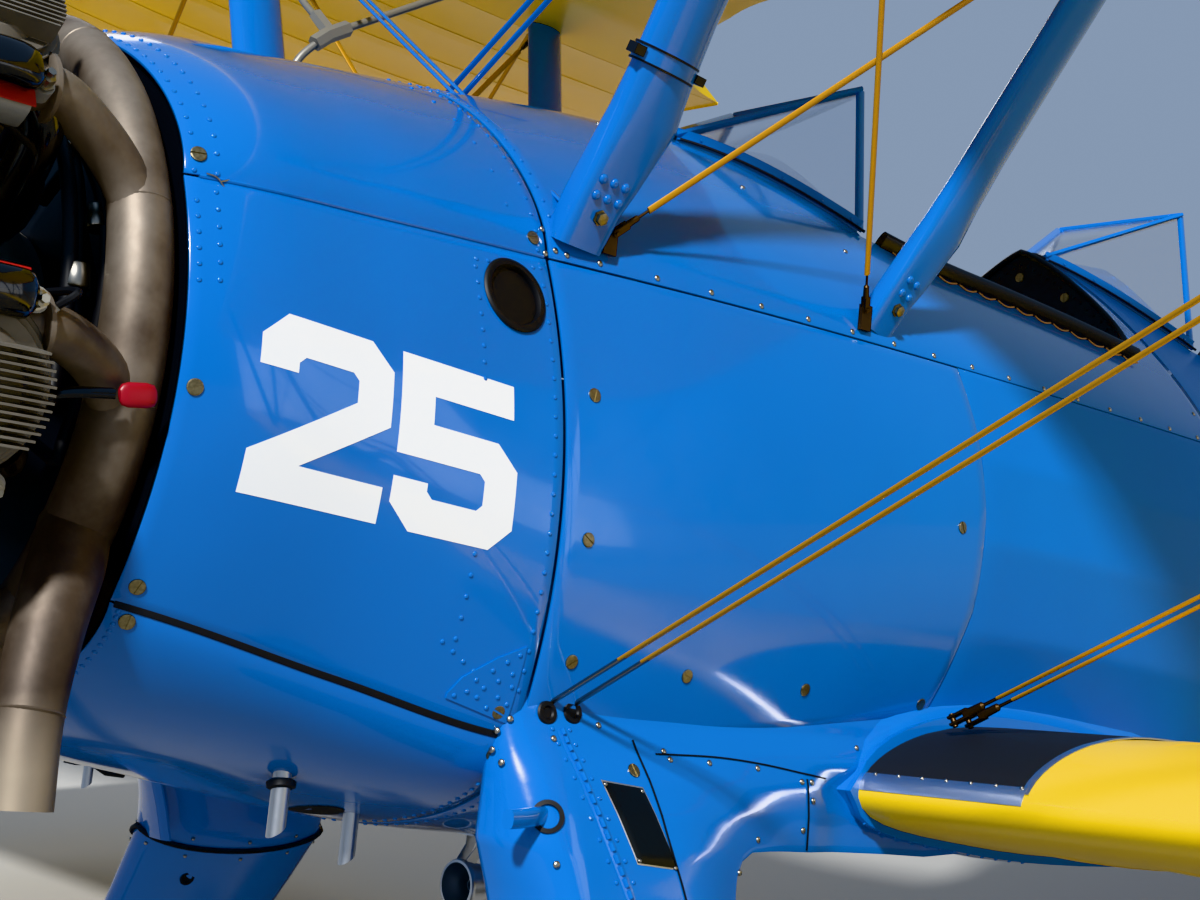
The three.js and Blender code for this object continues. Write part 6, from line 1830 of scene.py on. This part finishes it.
one = joined([blade_shape(), turned_shape([(56, 0), (56, 158)], (PROP_X, 0, 0), UP, 40)])
blades = joined([one, flipped(one)])
piece("blades", blades, forged, "bare_aluminium", "propeller_blades", body="propeller")
PROP_HUB = [(36, -1252), (58, -1250), (62, -1247), (64, -1226), (66, -1222), (74, -1220), (86, -1214),
            (88, -1206), (88, -1172), (84, -1164), (70, -1150), (68, -1146), (48, -1142), (45, -1138),
            (45, -1114.5)]
SLEEVE = [(57.5, -150), (64, -148), (70, -146), (70, -118), (66, -114), (65, 0), (66, 114), (70, 118),
          (70, 146), (64, 148), (57.5, 150)]
hub = turned_shape(PROP_HUB, (0, 0, 0), AFT, 48)
sleeve = turned_shape(SLEEVE, (PROP_X, 0, 0), UP, 48)
bolts = [turned_shape([(9, -46), (9, -38), (6, -38), (6, 38), (9, 38), (9, 46)], (PROP_X + x, 0, z),
                      (0, 1, 0), 6) for x in (-74, 74) for z in (-132, -90, 90, 132)]
barrel = joined([hub, sleeve] + bolts)
piece("hub_barrel", barrel, bright_steel, "bare_steel", "propeller_hub", body="propeller")


# Tail surfaces
# Fabric on a ribbed frame: fixed stabiliser and fin, hinged elevators and rudder, all doped yellow
# with taped ribs; the hinge lugs are steel.
STABILISER = np.array([  # of each surface: span or height, x of its outer edge, thickness
    (196, 4758, 76), (240, 4765, 84), (1000, 4905, 74), (1500, 5015, 64), (1760, 5120, 52),
    (1868, 5180, 48)], float)
ELEVATOR = np.array([(150, 5800, 60), (320, 5860, 60), (1100, 5840, 60), (1560, 5740, 54), (1780, 5610, 44),
                     (1874, 5460, 32)], float)
FIN = np.array([(250, 4900, 74), (420, 4985, 72), (760, 5170, 64), (980, 5310, 54), (1100, 5430, 44),
                (1158, 5560, 30)], float)
RUDDER = np.array([
    (-96, 5830, 30), (-60, 6010, 50), (40, 6190, 58), (240, 6330, 60), (520, 6378, 60), (800, 6300, 56),
    (1000, 6150, 48), (1120, 5960, 38), (1168, 5800, 28)], float)
ELEVATOR_HINGE, RUDDER_HINGE = (5330, 240), 5700


def tail_ring(front, back, thick, fixed):
    """A section as (along, across) points: a fixed surface ends square, a moving one has a round nose."""
    half = thick / 2
    turn = np.linspace(np.pi * 0.5, np.pi * 1.5, 15)
    if fixed:
        nose = [(front + 60 + c * 60, s * half * 0.62) for c, s in zip(np.cos(turn), np.sin(turn))]
        along = front + 0.45 * (back - front)
        return nose + [(along, -half), (back, -half * 0.9), (back, half * 0.9), (along, half)]
    nose = [(front + half + c * half, s * half) for c, s in zip(np.cos(turn), np.sin(turn))]
    return nose + [(front + (back - front) * 0.5, -half * 0.62), (back - 4, -3), (back, -1.5), (back, 1.5),
                   (back - 4, 3), (front + (back - front) * 0.5, half * 0.62)]


def tail_surface(table, ribs, fixed, hinge, place, low, high):
    """Rings along a tail surface, with the fabric pulled in a little between its ribs."""
    table = curve_through(table, 61)
    table = table[np.argsort(table[:, 0])]
    stations = np.unique(np.round(np.concatenate([table[:, 0].clip(low, high), ribs]), 2))
    rings = []
    for s in stations:
        at, thick = (np.interp(s, table[:, 0], table[:, k]) for k in (1, 2))
        sag = 1 - 0.045 * min(1, min(abs(np.array(ribs) - s)) / 60)
        front, back = (at, hinge) if fixed else (hinge, at)
        rings.append(np.array([place(x, w, s) for x, w in tail_ring(front, back, thick * sag, fixed)]))
    return loft_shape(rings)


def lying(side):
    """Places of a level surface on the port (-1) or starboard (1) side."""
    return lambda x, w, s: (x, side * s, ELEVATOR_HINGE[1] + w)


def standing(x, w, s):
    """A place of an upright surface."""
    return x, w, s


TAIL_SMOOTH = 40
for side, word in ((-1, "left"), (1, "right")):
    ribs = np.linspace(240, 1868, 9)
    surface = tail_surface(STABILISER, ribs, True, ELEVATOR_HINGE[0] - 40, lying(side), 204, 1868)
    piece(f"stabiliser_fabric_{word}", surface, yellow_fabric, "yellow_fabric", f"stabiliser_{word}",
          smooth_below=TAIL_SMOOTH)
    tapes = []
    for s in ribs[1:-1]:
        lead, thick = (np.interp(s, STABILISER[:, 0], STABILISER[:, k]) for k in (1, 2))
        for up in (-1, 1):
            line = [(lead + 100, thick * 0.40), (lead + 0.45 * (5290 - lead), thick / 2 - 0.4),
                    (5286, thick * 0.45 - 0.4)]
            path = [(x, side * s, ELEVATOR_HINGE[1] + up * rise) for x, rise in line]
            tapes.append(swept_shape(path, oval(22, 1.6, 8, 5), across=(0, 1, 0)))
    piece(f"stabiliser_rib_tapes_{word}", joined(tapes), yellow_fabric, "yellow_fabric")
elevator_ribs = np.concatenate([[150], np.linspace(320, 1780, 8), [1874]])
elevators = [tail_surface(ELEVATOR, elevator_ribs, False, ELEVATOR_HINGE[0] - 30, lying(side), 150, 1874)
             for side in (-1, 1)]
elevators.append(turned_shape([(20, -172), (20, 172)], (ELEVATOR_HINGE[0], 0, ELEVATOR_HINGE[1]), (0, 1, 0),
                              20))
piece("elevator_fabric", joined(elevators), yellow_fabric, "yellow_fabric", "elevators", body="elevator",
      smooth_below=TAIL_SMOOTH)
fin_ribs = np.array([250, 420, 590, 760, 920, 1060, 1158], float)
fin = tail_surface(FIN, fin_ribs, True, RUDDER_HINGE - 40, standing, 250, 1158)
piece("fin_fabric", fin, yellow_fabric, "yellow_fabric", "fin", smooth_below=TAIL_SMOOTH)
rudder_ribs = np.array([-96, 40, 240, 420, 600, 800, 1000, 1120, 1168], float)
rudder = tail_surface(RUDDER, rudder_ribs, False, RUDDER_HINGE - 30, standing, -96, 1168)
piece("rudder_fabric", rudder, yellow_fabric, "yellow_fabric", "rudder", body="rudder",
      smooth_below=TAIL_SMOOTH)
lugs = []
for y0, y1 in ((490, 510), (1075, 1095)):
    for side in (-1, 1):
        lugs.append(box_shape((5295, side * (y0 + y1) / 2, 240), (5, 10, 11)))
for z0, z1 in ((500, 520), (400, 420)):
    lugs.append(box_shape((5665, 0, (z0 + z1) / 2), (5, 11, 10)))
piece("tail_hinge_lugs", joined(lugs), bright_steel, "bare_steel", smooth_below=30)


# Tail wheel
# Castoring wheel on a steel leg: leg and brace from the fuselage, swivel housing, open fork and a
# small solid tyre on a cast hub.
TAIL_WHEEL_LEAN = math.radians(14)
TAIL_WHEEL_TRAIL = 70
TAIL_WHEEL_AT = np.array([5250, 0, -408.6])
swivel = np.array([-math.sin(TAIL_WHEEL_LEAN), 0, math.cos(TAIL_WHEEL_LEAN)])
behind = np.array([math.cos(TAIL_WHEEL_LEAN), 0, math.sin(TAIL_WHEEL_LEAN)])


def from_wheel(up, back, y=0):
    """A place from the tail wheel's centre, up the swivel axis and back across it."""
    return TAIL_WHEEL_AT + swivel * up + behind * (back - TAIL_WHEEL_TRAIL) + (0, y, 0)


fork = []
ARM = [(158, 18, 42), (146, 18, 54), (110, 26, 56), (40, 48, 56), (0, 70, 56), (-20, 72, 56)]
for hand in (-1, 1):
    arm = [from_wheel(up, back, hand * y) for up, back, y in ARM]
    fork.append(swept_shape(curve_through(arm, 18), oval(74, 11, 14, 4), across=(1, 0, 0),
                            scale=np.interp(np.arange(18), [0, 4, 12, 17], [0.8, 1.1, 0.72, 0.5])))
    fork.append(turned_shape([(22, -4), (22, 4), (14, 6), (14, 12)], from_wheel(0, 70, hand * 60),
                             (0, hand, 0), 6))
yoke = [from_wheel(150, 18, -56), from_wheel(154, 18, 0), from_wheel(150, 18, 56)]
fork.append(swept_shape(yoke, oval(84, 20, 14, 4), across=(1, 0, 0)))
swivel_foot = from_wheel(0, 0)
fork.append(turned_shape([(30, 150), (30, 158), (26, 162), (26, 173.5)], swivel_foot, swivel, 28))
piece("tail_wheel_fork", joined(fork), blue_enamel, "blue_enamel", "tail_fork", body="tail_fork")
axle = turned_shape([(12, -50), (12, 50)], TAIL_WHEEL_AT, (0, 1, 0), 16)
piece("tail_wheel_axle", axle, bright_steel, "bare_steel", body="tail_fork")
HOUSING = [(32, 174.5), (36, 178), (36, 196), (32, 200), (32, 268), (36, 272), (36, 288), (32, 294)]
leg = [turned_shape(HOUSING, swivel_foot, swivel, 28)]
spring = curve_through([from_wheel(214, -6), (5090, 0, -186), (5012, 0, -166)], 10)
leg.append(swept_shape(spring, oval(64, 40, 18), across=(0, 1, 0)))
leg.append(swept_shape([from_wheel(272, 4), (5220, 0, -142)], oval(42, 36, 16), across=(0, 1, 0)))
piece("tail_wheel_leg_and_housing", joined(leg), bright_steel, "bare_steel", "tail_wheel_leg")
tyre = turned_shape(tyre_profile(129.6, 74, 60, (-16, 0, 16)), TAIL_WHEEL_AT, (0, 1, 0), 64, ring=True)
piece("tail_tyre", tyre, tyre_rubber, "tyre_rubber", "tail_wheel", body="tail_wheel")
TAIL_HUB = [(12.8, -30), (28, -30), (30, -18), (50, -16), (57, -20), (62, -22), (62, 22), (57, 20), (50, 16),
            (30, 18), (28, 30), (12.8, 30)]
hub = turned_shape(TAIL_HUB, TAIL_WHEEL_AT, (0, 1, 0), 48, ring=True)
piece("tail_wheel_hub", hub, cast_aluminium, "bare_aluminium", body="tail_wheel")


# Belly fittings
# A brushed aluminium venturi on a bracket drives the gyros; ahead of it are a flat near-black disc
# of painted shade for the cooling slot behind the drain tubes, and a black vent block with its tube.
VENTURI = np.array([232, -50, -657])
mouth_profile = [(33, 0), (37, 0.5), (38.5, 3), (38, 8), (35, 22), (28, 56), (25, 84), (25, 96), (28, 128),
                 (35, 176), (36.5, 190), (34, 190), (32, 174), (24, 126), (21, 96), (21, 84), (24, 54),
                 (30, 22), (33, 6)]
inner_tube = [(8, 30), (10.5, 31), (11, 36), (8.5, 56), (8.5, 72), (6, 72), (6, 56), (8, 38)]
bracket = []


def below(x, y):
    """The belly's point under a place in plan."""
    line = skin(x, np.linspace(0, 4, 721)[:720])
    line = line[line[:, 2] < -300]
    order = np.argsort(line[:, 1])
    return np.array([x, y, np.interp(y, line[order, 1], line[order, 2])])


for share, reach in ((14, 36), (112, 26)):
    for y in (-16, 16):
        top = below(232 + share + 22, -50 + y) + (0, 0, 2)
        foot = VENTURI + (share, y * 0.6, reach - 3)
        arm = [foot, (foot + top) / 2 + (4, 0, 0), top]
        bracket.append(swept_shape(arm, oval(20, 2.6, 12, 5), across=(1, 0, 0), scale=[1, 0.8, 1.3]))
plate = [below(x, -50) - (0, 0, 2.2) for x in (236, 300, 384)]
bracket.append(swept_shape(plate, oval(52, 3, 12, 5), across=(0, 1, 0)))
venturi = [turned_shape(profile, VENTURI, AFT, sides, ring=True) for profile, sides in
           ((mouth_profile, 48), (inner_tube, 24))]
piece("venturi", joined(venturi), brushed_aluminium, "bare_aluminium")
piece("venturi_bracket", joined(bracket), brushed_aluminium, "bare_aluminium")
# The cooling slot is not cut: a thin near-black disc on the belly is its painted shade.
slot_turn = np.linspace(0, 2 * np.pi, 40, endpoint=False)
slot_rim = np.array([below(-104 + math.cos(a) * 27, -150 + math.sin(a) * 52) - (0, 0, 1.2)
                     for a in slot_turn])
slot_shade_disc = loft_shape([slot_rim + (0, 0, 1.0), slot_rim])
piece("belly_cooling_slot", slot_shade_disc, black_rubber, "black_metal")
block_at = below(-261, 196)
vent_tube = [block_at + away for away in ((10, 0, -20), (34, -6, -34), (60, -8, -36))]
vent_block = [box_shape(block_at - (0, 0, 12), (22, 16, 14)), swept_shape(vent_tube, oval(13, 13, 14))]
piece("belly_vent_block", joined(vent_block), black_rubber, "black_metal")


# Firewall
# A flat sheet of stainless steel across the whole fuselage, held between the cowl and the forward
# deck; it keeps an engine fire away from the cockpits.
turns = np.linspace(0, 4, 160, endpoint=False)
inset = skin(-3, turns) - skin_facing(-3, turns) * 6
sheet = loft_shape([inset * (0, 1, 1) + (-4, 0, 0), inset * (0, 1, 1) + (-1.6, 0, 0)])
piece("stainless_firewall", sheet, bright_steel, "bare_steel", "firewall")
